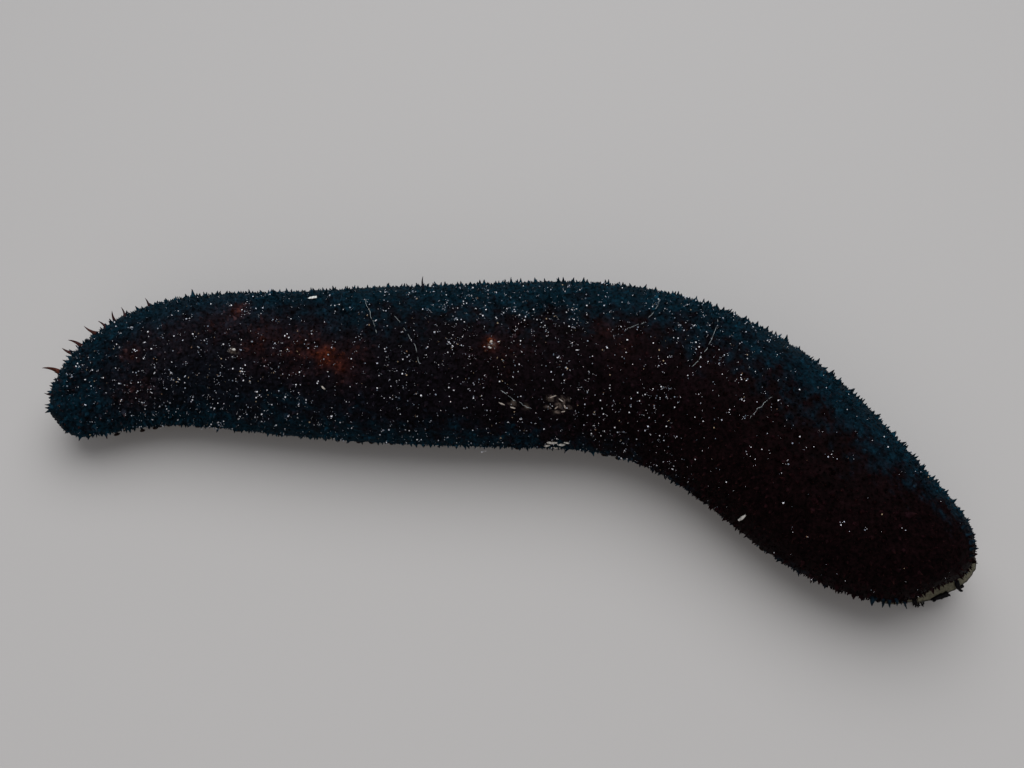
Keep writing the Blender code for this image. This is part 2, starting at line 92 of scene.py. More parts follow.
# Darkens and brightens a colour by a pattern: the pattern's limits, then the colour's strength at each.
def addTone(tree, colour, pattern, limits, tones):
    tone = addNode(tree, "ShaderNodeMapRange", {
        "Value": pattern, "From Min": limits[0], "From Max": limits[1],
        "To Min": tones[0], "To Max": tones[1]})
    scaled = addNode(tree, "ShaderNodeVectorMath", {0: colour, "Scale": tone.outputs[0]}, operation="SCALE")
    return scaled.outputs[0]


def addObject(name, data):
    item = bpy.data.objects.new(name, data)
    bpy.context.scene.collection.objects.link(item)
    return item


def ease(value):
    value = np.clip(value, 0.0, 1.0)
    return value * value * (3.0 - 2.0 * value)


def unit(vectors):
    return vectors / np.maximum(np.linalg.norm(vectors, axis=-1, keepdims=True), 1e-12)


# Distances from the first of a line of points.
def distanceAlong(points):
    return np.concatenate([[0.0], np.cumsum(np.linalg.norm(np.diff(points, axis=0), axis=1))])


def pointTree(points):
    tree = kdtree.KDTree(len(points))
    for i, point in enumerate(points):
        tree.insert(point, i)
    tree.balance()
    return tree


def ringAngles(sides):
    return [2.0 * math.pi * k / sides for k in range(sides)]


# The four-sided faces between rings of corners.
def ringQuads(rings, sides):
    faces = []
    for r in range(rings - 1):
        for k in range(sides):
            n = (k + 1) % sides
            faces.append((r * sides + k, r * sides + n, (r + 1) * sides + n, (r + 1) * sides + k))
    return faces


# The same with both ends closed.
def ringFaces(rings, sides):
    last = (rings - 1) * sides
    return [tuple(reversed(range(sides))), *ringQuads(rings, sides), tuple(last + k for k in range(sides))]


# Corners and faces of a closed round tube along points, with a radius at each point.
def tube(points, radii, sides):
    points = np.asarray(points, float)
    tangents = unit(np.gradient(points, axis=0))
    side = np.cross(tangents[0], upward)
    if np.linalg.norm(side) < 0.2:
        side = np.cross(tangents[0], (1.0, 0.0, 0.0))
    corners = []
    for point, tangent, radius in zip(points, tangents, radii):
        side = unit(side - tangent * side.dot(tangent))
        up = np.cross(tangent, side)
        for angle in ringAngles(sides):
            corners.append(point + radius * (math.cos(angle) * side + math.sin(angle) * up))
    return np.array(corners), ringFaces(len(points), sides)


def setAttributes(mesh, values):
    for name, numbers in values.items():
        numbers = np.asarray(numbers)
        kind = "FLOAT_VECTOR" if numbers.ndim == 2 else "INT" if numbers.dtype.kind == "i" else "FLOAT"
        layer = mesh.attributes.new(name, kind, "POINT")
        field = "vector" if kind == "FLOAT_VECTOR" else "value"
        layer.data.foreach_set(field, numbers.astype(np.int32 if kind == "INT" else np.float32).ravel())


# One object from many closed shapes. Each part is its corners, its faces and its values per corner.
def makePiece(name, parts, material):
    corners, faces, values, start = [], [], {}, 0
    for points, rings, marks in parts:
        corners.append(points)
        faces += [tuple(start + i for i in face) for face in rings]
        for key, numbers in marks.items():
            values.setdefault(key, []).append(np.broadcast_to(numbers, len(points)))
        start += len(points)
    mesh = bpy.data.meshes.new(name)
    mesh.from_pydata(np.vstack(corners).tolist(), [], faces)
    setAttributes(mesh, {key: np.concatenate(numbers) for key, numbers in values.items()})
    bm = bmesh.new()
    bm.from_mesh(mesh)
    bmesh.ops.recalc_face_normals(bm, faces=bm.faces)
    bm.to_mesh(mesh)
    bm.free()
    mesh.shade_smooth()
    mesh.materials.append(material)
    return addObject(name, mesh)


# The body's own shape, the same sizes as the solids. Metres and degrees; shares run rear to front.
body = {
    "length": 0.2804,
    "middleHeading": -1.5,
    "middleBend": 17.0,
    "middleShare": 0.40,
    "rearTurn": 54.0,
    "rearTurnEnd": 0.213,
    "frontTurn": -56.5,
    "frontTurnStart": 0.497,
    "frontTurnEnd": 0.84,
    "tipTurn": 37.0,
    "tipTurnStart": 0.848,
    "rearTip": (-0.1231, 0.0077),
    "rearHalfWidth": 0.0199,
    "frontHalfWidth": 0.0261,
    "widestShare": 0.82,
    "waist": 0.05,
    "waistShare": 0.21,
    "waistReach": 0.116,
    "heightPerWidth": 0.80,
    "widestHeightShare": 0.46,
    "bellyPower": 2.6,
    "soleClearance": 0.0008,
    "rearRound": 0.243,
    "rearPower": 2.3,
    "frontRound": 0.32,
    "frontPower": 2.6,
    "tipHeight": 0.013,
    "oralLift": 0.0015,
    "oralLiftStart": 0.85,
    "oralLiftEnd": 0.95,
    "mouthShare": 0.94,
    "steps": 1600,
    "shareStep": 0.0004,
    "angleStep": 0.01,
}


def headingAt(share):
    turn = body["middleHeading"] + body["middleBend"] * (share - body["middleShare"])
    turn = turn + body["rearTurn"] * (1.0 - ease(share / body["rearTurnEnd"]))
    front = (share - body["frontTurnStart"]) / (body["frontTurnEnd"] - body["frontTurnStart"])
    tip = (share - body["tipTurnStart"]) / (1.0 - body["tipTurnStart"])
    return np.radians(turn + body["frontTurn"] * ease(front) + body["tipTurn"] * ease(tip))


def makeCentreLine():
    shares = (np.arange(body["steps"]) + 0.5) / body["steps"]
    angles = headingAt(shares)
    step = body["length"] / body["steps"]
    x = np.concatenate([[0.0], np.cumsum(np.cos(angles)) * step]) + body["rearTip"][0]
    y = np.concatenate([[0.0], np.cumsum(np.sin(angles)) * step]) + body["rearTip"][1]
    return np.linspace(0.0, 1.0, body["steps"] + 1), x, y


lineShares, lineX, lineY = makeCentreLine()


def sectionAt(share):
    grow = np.sin(np.pi / 2.0 * np.minimum(share / body["widestShare"], 1.0))
    half = body["rearHalfWidth"] + (body["frontHalfWidth"] - body["rearHalfWidth"]) * grow
    half = half * (1.0 - body["waist"] * np.exp(-((share - body["waistShare"]) / body["waistReach"]) ** 2))
    height = 2.0 * half * body["heightPerWidth"]
    rearDepth = 1.0 - np.clip(share / body["rearRound"], 0.0, 1.0)
    frontDepth = 1.0 - np.clip((1.0 - share) / body["frontRound"], 0.0, 1.0)
    full = (1.0 - rearDepth ** body["rearPower"]) ** (1.0 / body["rearPower"])
    full = full * (1.0 - frontDepth ** body["frontPower"]) ** (1.0 / body["frontPower"])
    below = body["widestHeightShare"] * height
    level = body["soleClearance"] + below - (below - body["tipHeight"]) * (1.0 - full)
    lift = (share - body["oralLiftStart"]) / (body["oralLiftEnd"] - body["oralLiftStart"])
    return half * full, (height - below) * full, below * full, level + body["oralLift"] * ease(lift)


# Points of the plain body. The angle is 0 at the left flank, 90 degrees on top and 180 at the right flank.
def plainPoint(share, angle):
    share, angle = np.broadcast_arrays(np.asarray(share, float), np.asarray(angle, float))
    half, above, below, level = sectionAt(share)
    cosine, sine = np.cos(angle), np.sin(angle)
    power = 2.0 / body["bellyPower"]
    flat = np.sign(cosine) * np.abs(cosine) ** power
    across = half * np.where(sine >= 0.0, cosine, flat)
    height = level + np.where(sine >= 0.0, above * sine, -below * np.abs(sine) ** power)
    heading = headingAt(share)
    x = np.interp(share, lineShares, lineX) - across * np.sin(heading)
    y = np.interp(share, lineShares, lineY) + across * np.cos(heading)
    return np.stack([x, y, height], -1)


# The ends aren't plain rounds. The front one is full ahead, and pressed in low on its near side, where the
# lip shows. The rear one is full low on its near side. Each push is a share and an angle in degrees, the
# share of the core that it points away from, how far the skin goes out there and how wide the push is.
endShape = {
    "pushes": [(0.9995, 90.0, 0.9695, 0.0021, 0.0110), (0.981, 196.0, 0.951, -0.0030, 0.0085),
               (0.010, 196.0, 0.060, 0.0013, 0.0070)],
    "coreHeight": 0.017,
}


def endPushes():
    for share, degrees, coreShare, amount, reach in endShape["pushes"]:
        place = plainPoint(share, math.radians(degrees))
        core = plainPoint(coreShare, math.pi / 2.0)
        core[2] = endShape["coreHeight"]
        yield place, unit(place - core), amount, reach


def bodyPoint(share, angle):
    points = plainPoint(share, angle)
    moved = points
    for place, outward, amount, reach in endPushes():
        away = np.linalg.norm(points - place, axis=-1)
        moved = moved + (amount * np.exp(-(away / reach) ** 2))[..., None] * outward
    return moved


def bodyNormal(share, angle):
    step, turn = body["shareStep"], body["angleStep"]
    share = np.clip(share, step, 1.0 - step)
    along = bodyPoint(share + step, angle) - bodyPoint(share - step, angle)
    around = bodyPoint(share, angle + turn) - bodyPoint(share, angle - turn)
    return unit(np.cross(around, along))


# Camera: the photograph looks down at 55 degrees across the body's side.
view = {
    "target": (0.0093, 0.0304, 0.0),
    "elevation": 55.0,
    "distance": 0.345,
    "fieldOfView": 50.0,
    "sensorWidth": 36.0,
    "nearest": 0.01,
    "imageWidth": 1024,
    "imageHeight": 768,
    "lowLevel": 0.012,  # where rays that miss the skin are taken to end
}
viewAngle = math.radians(view["elevation"])
viewAway = Vector((0.0, -math.cos(viewAngle), math.sin(viewAngle)))
viewRight = Vector((1.0, 0.0, 0.0))
viewUp = viewAway.cross(viewRight)
viewPlace = Vector(view["target"]) + viewAway * view["distance"]
viewSpread = math.tan(math.radians(view["fieldOfView"] / 2.0))


def makeCamera():
    camera = addObject("camera", bpy.data.cameras.new("camera"))
    camera.data.sensor_width = view["sensorWidth"]
    camera.data.lens = view["sensorWidth"] / 2.0 / viewSpread
    camera.data.clip_start = view["nearest"]
    camera.location = viewPlace
    camera.rotation_euler = viewAway.to_track_quat("Z", "Y").to_euler()
    bpy.context.scene.camera = camera


# The ray through a pixel of the 1024 x 768 picture, as a direction from the camera.
def pixelRay(x, y):
    half = view["imageWidth"] / 2.0
    across = (x - half) / half * viewSpread
    rise = (view["imageHeight"] / 2.0 - y) / half * viewSpread
    return (viewRight * across + viewUp * rise - viewAway).normalized()


# Where a ray meets a height above the floor.
def rayAtHeight(ray, height):
    return viewPlace + ray * ((height - viewPlace.z) / ray.z)


# The point of the skin behind a pixel and the skin's direction there.
def skinBehind(x, y, surface):
    ray = pixelRay(x, y)
    hit = surface.ray_cast(viewPlace, ray)[0]
    if hit is None:
        hit = rayAtHeight(ray, view["lowLevel"])
    return surface.find_nearest(hit)[:2]


light = {
    "floorColour": "#b4b2b1",
    "floorReach": 3,
    "worldColour": "#c9cdd2",
    "worldStrength": 0.50,
    "floorRoughness": 0.9,
    "floorSpecular": 0.1,
    "lamps": {
        "softKey": {"place": (0.05, 0.28, 0.85), "size": 1.2, "power": 7.5, "colour": "#ffffff"},
        "softFill": {"place": (-0.1, -0.75, 0.55), "size": 0.7, "power": 1.7, "colour": "#fff4ec"},
    },
}


def addLamp(name, place, size, power, colour):
    lamp = bpy.data.lights.new(name, "AREA")
    lamp.shape = "DISK"
    lamp.size = size
    lamp.energy = power
    lamp.color = hexColour(colour)[:3]
    item = addObject(name, lamp)
    item.location = place
    item.rotation_euler = Vector(place).to_track_quat("Z", "Y").to_euler()


def makeStage():
    world = bpy.data.worlds.new("softStudio")
    bpy.context.scene.world = world
    world.use_nodes = True
    setInputs(world.node_tree, world.node_tree.nodes["Background"],
              {"Color": hexColour(light["worldColour"]), "Strength": light["worldStrength"]})
    for name, lamp in light["lamps"].items():
        addLamp(name, **lamp)
    mesh = bpy.data.meshes.new("floor")
    reach = light["floorReach"]
    corners = [(-reach, -reach, 0), (reach, -reach, 0), (reach, reach, 0), (-reach, reach, 0)]
    mesh.from_pydata(corners, [], [(0, 1, 2, 3)])
    floor = addObject("floor", mesh)
    mesh.materials.append(finishMaterial(newMaterial("mattPaleFloor"), {
        "Base Color": hexColour(light["floorColour"]), "Roughness": light["floorRoughness"],
        "Specular IOR Level": light["floorSpecular"]}))
    bpy.context.scene.view_settings.view_transform = "Standard"


# Papillae: stout pointed ones in staggered rows over the back and flanks, and fine ones between them. The
# profiles are radii and heights for a radius and a height of 1. Reddened tips fade out from the rear end.
papilla = {
    "spacing": 0.0029,
    "jitter": 0.36,
    "lowAngle": -0.80,
    "height": 0.00098,
    "heightSpread": 0.60,
    "rearGain": 0.32,
    "flankLoss": 0.30,
    "longShare": 0.05,
    "longGain": 1.6,
    "lean": 0.17,
    "radius": 0.00042,
    "seed": 21,
    "variants": 7,
    "sides": 7,
    "profile": [(1.50, -0.30), (1.08, 0.02), (0.72, 0.24), (0.46, 0.52), (0.24, 0.82), (0.07, 1.0)],
    "bend": 0.60,
}
finePapilla = {
    "spacing": 0.00150,
    "jitter": 0.42,
    "lowAngle": -0.72,
    "height": 0.00042,
    "heightSpread": 0.45,
    "rearGain": 0.30,
    "flankLoss": 0.10,
    "longShare": 0.06,
    "longGain": 1.5,
    "lean": 0.24,
    "radius": 0.00015,
    "seed": 77,
    "variants": 5,
    "sides": 5,
    "profile": [(1.30, -0.25), (1.0, 0.06), (0.62, 0.58), (0.16, 1.0)],
    "bend": 0.70,
}
# What both kinds share. Rows and bare ends are in spacings, the five lengths of coat in shares.
coatRules = {
    "rowPitch": 0.88,
    "bareRear": 1.2,
    "leastBareRear": 0.0036,
    "bareFront": 0.3,
    "shares": (0.0022, 0.9998),
    "lengthSteps": 2001,
    "girthSteps": 161,
    "lift": 0.00012,
    "rearReach": 0.13,
    "lowFlank": 0.7,
    "slimness": (0.75, 0.5),
    "widthSpread": (0.85, 1.15),
    "lowestTip": 0.0004,
    "redTips": (0.30, 0.70),
    "rough": 0.10,
    "shapeSeed": 100,
    "lengths": {"anal": (0.0, 0.16), "rear": (0.16, 0.38), "middle": (0.38, 0.60), "front": (0.60, 0.82),
                "oral": (0.82, 1.01)},
}
# No papilla stands on the smooth lip below the front rim: a low sector seen from the mouth, in degrees.
smoothLip = {"share": 0.90, "height": 0.0135, "directions": (-72.0, -6.0)}
mouthPlace = (float(np.interp(body["mouthShare"], lineShares, lineX)),
              float(np.interp(body["mouthShare"], lineShares, lineY)))


# Roots are drawn before the skin, so that it can swell under them.
def papillaRoots(kind):
    draw = random.Random(kind["seed"])
    spacing = kind["spacing"]
    table = np.linspace(0.0, 1.0, coatRules["lengthSteps"])
    travelled = distanceAlong(bodyPoint(table, math.pi / 2.0))
    rows = np.arange(max(spacing * coatRules["bareRear"], coatRules["leastBareRear"]),
                     travelled[-1] - spacing * coatRules["bareFront"], spacing * coatRules["rowPitch"])
    angles = np.linspace(kind["lowAngle"], math.pi - kind["lowAngle"], coatRules["girthSteps"])
    least, most = coatRules["shares"]
    shareList, angleList = [], []
    for row, distance in enumerate(rows):
        share = float(np.interp(distance, travelled, table))
        girth = distanceAlong(bodyPoint(share, angles))
        count = max(1, round(girth[-1] / spacing))
        for k in range(count):
            place = (k + 0.25 + 0.5 * (row % 2) + draw.uniform(-1, 1) * kind["jitter"]) / count
            away = draw.uniform(-1, 1) * kind["jitter"] * spacing / body["length"]
            angleList.append(float(np.interp(place * girth[-1], girth, angles)))
            shareList.append(min(most, max(least, share + away)))
    return np.array(shareList), np.array(angleList)


# Skin: one closed surface for the back and the sole, with folds, dents and a swelling under each papilla.
skin = {
    "rings": 372,
    "around": 196,
    "firstShare": 0.0035,
    "lastShare": 0.99995,
    "evenShare": 0.62,  # the rest of the rings' steps bunch up in the rounded ends
    "lowest": 0.0003,
    "rearPit": 0.0016,
    "dent": 0.00042,
    "dentSize": 0.019,
    "fold": 0.00016,
    "foldSize": 0.0042,
    "foldWarp": 2.4,
    "foldTurn": 1.2,
    "swelling": 0.00030,
    "swellingReach": 0.00085,
    "grain": 0.00008,
    "grainSize": 0.0016,
    "uvEdge": 0.002,
}


def skinRelief(points, shares, angles, rootTree):
    relief = np.zeros(len(points))
    for i, point in enumerate(points):
        place = Vector(point)
        dent = noise.noise(place / skin["dentSize"])
        warp = noise.noise(place / skin["dentSize"] + Vector((7.0, 3.0, 1.0)))
        along = shares[i] * body["length"] / skin["foldSize"] + skin["foldWarp"] * warp
        across = skin["foldTurn"] * math.cos(angles[i])
        fold = noise.noise(Vector((along, across, skin["foldTurn"] * math.sin(angles[i]))))
        grain = noise.noise(place / skin["grainSize"])
        swelling = math.exp(-(rootTree.find(place)[2] / skin["swellingReach"]) ** 2)
        relief[i] = (skin["dent"] * dent + skin["fold"] * fold + skin["grain"] * grain
                     + skin["swelling"] * swelling)
    return relief


# UV of a root or a skin corner on the unwrapped skin: around the body, then along it.
def skinUv(shares, angles):
    around = (np.asarray(angles) + math.pi / 2.0) / (2.0 * math.pi)
    edge, spread = skin["uvEdge"], 1.0 - 2.0 * skin["uvEdge"]
    return np.stack([edge + spread * around, edge + spread * np.asarray(shares)], -1)


def rootUv(shares, angles):
    return np.column_stack([skinUv(shares, angles), np.zeros(len(shares))])


# The middle of the flat end that the vent covers, and the way out of the body there.
def rearCap():
    turn = np.linspace(0.0, 2.0 * np.pi, 24, endpoint=False)
    heading = float(headingAt(np.array(0.0)))
    out = np.array((-math.cos(heading), -math.sin(heading), 0.0))
    return bodyPoint(np.full(24, skin["firstShare"]), turn).mean(axis=0), out


def makeSkin(rootPlaces):
    rings, around, first = skin["rings"], skin["around"], skin["firstShare"]
    steps = np.linspace(0.0, 1.0, rings)
    shares = first + (1.0 - first) * steps
    bunched = first + (1.0 - first) * (0.5 - 0.5 * np.cos(np.pi * steps))
    shares = skin["evenShare"] * shares + (1.0 - skin["evenShare"]) * bunched
    shares[-1] = skin["lastShare"]
    uvAngles = -np.pi / 2.0 + 2.0 * np.pi * np.arange(around + 1) / around
    gridShares = np.repeat(shares, around)
    gridAngles = np.tile(uvAngles[:-1], rings)
    points = bodyPoint(gridShares, gridAngles)
    relief = skinRelief(points, gridShares, gridAngles, pointTree(rootPlaces))
    points = points + bodyNormal(gridShares, gridAngles) * relief[:, None]
    points[:, 2] = np.maximum(points[:, 2], skin["lowest"])
    capMiddle, out = rearCap()
    points = np.vstack([points, capMiddle - out * skin["rearPit"], points[-around:].mean(0)])
    uvGrid = skinUv(*np.broadcast_arrays(shares[:, None], uvAngles))
    uvs = np.stack([uvGrid[:-1, :-1], uvGrid[:-1, 1:], uvGrid[1:, 1:], uvGrid[1:, :-1]], 2)
    uvs = uvs.reshape(-1, 2).tolist()
    faces = ringQuads(rings, around)
    last, rearPole, frontPole = (rings - 1) * around, rings * around, rings * around + 1
    for k in range(around):
        n = (k + 1) % around
        rear, front = uvGrid[0, k:k + 2], uvGrid[-1, k:k + 2]
        faces += [(rearPole, n, k), (last + k, last + n, frontPole)]
        uvs += [(rear[:, 0].mean(), 0.0), rear[1], rear[0], front[0], front[1], (front[:, 0].mean(), 1.0)]
    mesh = bpy.data.meshes.new("skin")
    mesh.from_pydata(points.tolist(), [], faces)
    layer = mesh.uv_layers.new(name="OFBake")
    layer.uv.foreach_set("vector", np.array(uvs, np.float32).ravel())
    mesh.shade_smooth()
    allShares = np.concatenate([gridShares, [0.0, 1.0]])
    allAngles = np.concatenate([gridAngles, [math.pi / 2.0, math.pi / 2.0]])
    return addObject("skin", mesh), points, allShares, allAngles


# Markings that skin and papillae share, with a painted teal sheen. The sheen is painted on the flanks and the
# rear end, left off a dark band along the back where the skin faces the camera, and faded below both flanks.
# Values of the dark band along the back go with bandShares. Angles and wander are in degrees. A spot is its
# pixel, its radius in mm and its strength.
markings = {
    "bandShares": (0.12, 0.35, 0.60, 0.80),
    "bandCentre": (126.0, 127.0, 139.0, 147.0),
    "bandHalfWidth": (44.0, 44.0, 54.0, 73.0),
    "bandSheen": (0.38, 0.20, 0.06, 0.0),
    "bandSoftness": 44.0,
    "noiseSizes": (0.013, 0.0035, 0.0012),
    "bandWander": (15.0, 26.0, 20.0),
    "flankEnds": (32.0, 214.0),
    "sheenFade": 0.75,
    "flankSoftness": 40.0,
    "soleEdge": 52.0,
    "soleSoftness": 24.0,
    "rearSheen": 0.075,
    "rearSoftness": 0.06,
    "rearWander": 0.0022,
    "rearMost": 0.95,
    "rustBlotch": 1.1,
    "paleBlotches": (0.3, 0.75),
    "paleStart": 0.42,
    "paleSoftness": 0.4,
    "faintestPale": 0.08,
    "flankWander": 0.5,
    "soleWander": 0.4,
    "rustSpots": [
        (326, 357, 3.2, 0.90), (338, 366, 2.6, 0.50), (300, 348, 7.0, 0.22), (345, 362, 6.0, 0.18),
        (262, 338, 8.0, 0.18), (238, 310, 3.2, 0.50), (218, 322, 8.0, 0.14), (182, 330, 9.0, 0.08),
        (150, 345, 8.0, 0.08), (500, 348, 9.0, 0.06), (626, 348, 6.0, 0.06), (136, 390, 7.0, 0.10),
        (490, 344, 2.0, 0.80), (312, 352, 2.0, 0.50), (341, 357, 1.6, 0.60), (242, 306, 2.0, 0.50),
        (132, 352, 3.0, 0.25), (606, 330, 3.5, 0.14),
    ],
    "paleSpots": [
        (560, 404, 2.6, 0.80), (550, 399, 2.0, 0.62), (503, 393, 1.6, 0.45), (514, 403, 2.0, 0.40),
        (526, 408, 1.7, 0.35), (490, 344, 1.3, 0.75), (327, 386, 1.2, 0.45), (234, 350, 1.0, 0.50),
    ],
}


def spotStrength(points, spots, surface):
    total = np.zeros(len(points))
    for x, y, radius, strength in spots:
        spot = np.array(skinBehind(x, y, surface)[0])
        distance = np.linalg.norm(points - spot, axis=1) / (radius * 0.001)
        total = np.maximum(total, strength * np.exp(-distance ** 2))
    return total


def noiseAt(points, size):
    return np.array([noise.noise(Vector(p) / size) for p in points])


# Four strengths from 0 to 1: the painted teal sheen of the flanks and rear end, rust, pale scars and the
# brown of the sole.
def markAt(points, shares, angles, surface):
    degrees = np.degrees(angles) % 360.0
    # Painted teal sheen: off the band that faces the camera, full at the rear end, faded below both flanks.
    centre, half, base = [np.interp(shares, markings["bandShares"], markings[name])
                          for name in ("bandCentre", "bandHalfWidth", "bandSheen")]
    coarse, patchy, fine = [noiseAt(points, size) for size in markings["noiseSizes"]]
    weights = markings["bandWander"]
    wander = weights[0] * coarse + weights[1] * patchy + weights[2] * fine
    off = np.abs((degrees - centre + 180.0) % 360.0 - 180.0)
    cool = ease((off + wander - half) / markings["bandSoftness"] + 0.5)
    rear = markings["rearSheen"] + markings["rearWander"] * wander - shares
    cool = np.maximum(cool, markings["rearMost"] * ease(rear / markings["rearSoftness"]))
    cool = base + (1.0 - base) * cool
    farEnd, nearEnd = markings["flankEnds"]
    low = np.where(degrees > 270.0, degrees - 360.0, degrees)
    past = np.maximum(farEnd - low, low - nearEnd) + markings["flankWander"] * wander
    cool = cool * (1.0 - markings["sheenFade"] * ease(past / markings["flankSoftness"]))
    under = markings["soleEdge"] - np.abs(degrees - 270.0) - markings["soleWander"] * wander
    rust = spotStrength(points, markings["rustSpots"], surface) * (1.0 + markings["rustBlotch"] * patchy)
    spots = spotStrength(points, markings["paleSpots"], surface)
    patchyPale, finePale = markings["paleBlotches"]
    blotches = spots + finePale * fine + patchyPale * patchy - markings["paleStart"]
    pale = np.where(spots > markings["faintestPale"], ease(blotches / markings["paleSoftness"]), 0.0)
    return {"cool": cool, "rust": np.clip(rust, 0.0, 1.0), "pale": pale,
            "sole": ease(under / markings["soleSoftness"])}


# Inputs of the scatter tree, with the kind of socket and the value that each starts with.
scatterInputs = [("Geometry", "Geometry", None), ("Shapes", "Collection", None),
                 ("Height Scale", "Float", 1.0), ("Width Scale", "Float", 1.0),
                 ("Bake Patch", "Float", 0.003), ("Turn Seed", "Int", 4), ("Material", "Material", None)]
# Attributes of the roots and shapes that only place the shapes.
placing = {"facing": "FLOAT_VECTOR", "high": "FLOAT", "wide": "FLOAT", "variant": "INT",
           "rootUv": "FLOAT_VECTOR", "patch": "FLOAT_VECTOR"}


# Geometry Nodes: a shape from a collection on every root, turned to its direction, realized.
def makeScatterTree():
    tree = bpy.data.node_groups.new("scatterOnRoots", "GeometryNodeTree")
    for name, kind, value in scatterInputs:
        socket = tree.interface.new_socket(name, in_out="INPUT", socket_type="NodeSocket" + kind)
        if value is not None:
            socket.default_value = value
    tree.interface.new_socket("Geometry", in_out="OUTPUT", socket_type="NodeSocketGeometry")
    put = addNode(tree, "NodeGroupInput").outputs
    held = {}
    for name, kind in placing.items():
        node = addNode(tree, "GeometryNodeInputNamedAttribute", {"Name": name}, data_type=kind)
        held[name] = node.outputs["Attribute"]
    shapes = addNode(tree, "GeometryNodeCollectionInfo", {
        "Collection": put["Shapes"], "Separate Children": True, "Reset Children": True},
        transform_space="ORIGINAL")
    aligned = addNode(tree, "FunctionNodeAlignRotationToVector", {"Vector": held["facing"]}, axis="Z")
    turn = addNode(tree, "FunctionNodeRandomValue", {3: 2.0 * math.pi, "Seed": put["Turn Seed"]},
                   data_type="FLOAT")
    spin = addNode(tree, "ShaderNodeCombineXYZ", {"Z": turn.outputs[1]})
    turned = addNode(tree, "FunctionNodeRotateRotation",
                     {"Rotation": aligned.outputs[0], "Rotate By": spin.outputs[0]}, rotation_space="LOCAL")
    tall, broad = [addNode(tree, "ShaderNodeMath", {0: held[name], 1: put[scale]}, operation="MULTIPLY")
                   for name, scale in (("high", "Height Scale"), ("wide", "Width Scale"))]
    size = addNode(tree, "ShaderNodeCombineXYZ",
                   {"X": broad.outputs[0], "Y": broad.outputs[0], "Z": tall.outputs[0]})
    placed = addNode(tree, "GeometryNodeInstanceOnPoints", {
        "Points": put["Geometry"], "Pick Instance": True, "Instance": shapes.outputs[0],
        "Instance Index": held["variant"], "Rotation": turned.outputs[0], "Scale": size.outputs[0]})
    real = addNode(tree, "GeometryNodeRealizeInstances", {"Geometry": placed.outputs[0]})
    small = addNode(tree, "ShaderNodeVectorMath", {0: held["patch"], "Scale": put["Bake Patch"]},
                    operation="SCALE")
    where = addNode(tree, "ShaderNodeVectorMath", {0: held["rootUv"], 1: small.outputs[0]}, operation="ADD")
    stored = addNode(tree, "GeometryNodeStoreNamedAttribute",
                     {"Name": "OFBake", "Geometry": real.outputs[0], "Value": where.outputs[0]},
                     data_type="FLOAT2", domain="CORNER")
    smooth = addNode(tree, "GeometryNodeSetShadeSmooth", {"Geometry": stored.outputs[0]})
    covered = addNode(tree, "GeometryNodeSetMaterial",
                      {"Geometry": smooth.outputs[0], "Material": put["Material"]})
    addNode(tree, "NodeGroupOutput", {"Geometry": covered.outputs[0]})
    return tree


# Scatters shapes on roots and keeps the result as a plain mesh, then drops the shapes.
def scatterShapes(name, places, values, shapes, tree, material):
    group = bpy.data.collections.new(name + "Shapes")
    for shape in shapes:
        group.objects.link(shape)
    points = bpy.data.meshes.new(name)
    points.from_pydata(places.tolist(), [], [])
    setAttributes(points, values)
    item = addObject(name, points)
    modifier = item.modifiers.new(tree.name, "NODES")
    modifier.node_group = tree
    inputs = {"Shapes": group, "Material": material}
    for socket in tree.interface.items_tree:
        if socket.item_type == "SOCKET" and socket.in_out == "INPUT" and socket.name in inputs:
            modifier[socket.identifier] = inputs[socket.name]
    depsgraph = bpy.context.evaluated_depsgraph_get()
    mesh = bpy.data.meshes.new_from_object(item.evaluated_get(depsgraph), preserve_all_data_layers=True,
                                           depsgraph=depsgraph)
    item.modifiers.remove(modifier)
    for attribute in placing:
        if attribute in mesh.attributes:
            mesh.attributes.remove(mesh.attributes[attribute])
    item.data = mesh
    mesh.name = item.name
    bpy.data.collections.remove(group)
    return item


# A ring-built shape of unit height about Z, for the scatter: its profile is radii and heights. It bends
# sideways, and each corner has its place in the shape's small bake patch.
def ringShape(name, profile, sides, bend, rough, seed):
    draw = random.Random(seed)
    points, along, patch = [], [], []
    lean = draw.uniform(0.0, 2.0 * math.pi)
    for radius, height in profile:
        rise = max(0.0, height)
        drift = bend * rise ** 2
        flat = 0.5 * (1.0 - 0.9 * rise)  # the patch narrows towards the tip
        for angle in ringAngles(sides):
            local = radius * (1.0 + rough * draw.uniform(-1, 1))
            points.append((local * math.cos(angle) + drift * math.cos(lean),
                           local * math.sin(angle) + drift * math.sin(lean), height))
            along.append(rise)
            patch.append((flat * math.cos(angle), flat * math.sin(angle), 0.0))
    mesh = bpy.data.meshes.new(name)
    mesh.from_pydata(points, [], ringFaces(len(profile), sides))
    setAttributes(mesh, {"along": np.array(along), "patch": np.array(patch)})
    return bpy.data.objects.new(name, mesh)


def dropShapes(shapes):
    for shape in shapes:
        bpy.data.objects.remove(shape)


def onSmoothLip(places, shares):
    away = np.degrees(np.arctan2(places[:, 1] - mouthPlace[1], places[:, 0] - mouthPlace[0]))
    inside = (away > smoothLip["directions"][0]) & (away < smoothLip["directions"][1])
    return inside & (shares > smoothLip["share"]) & (places[:, 2] < smoothLip["height"])


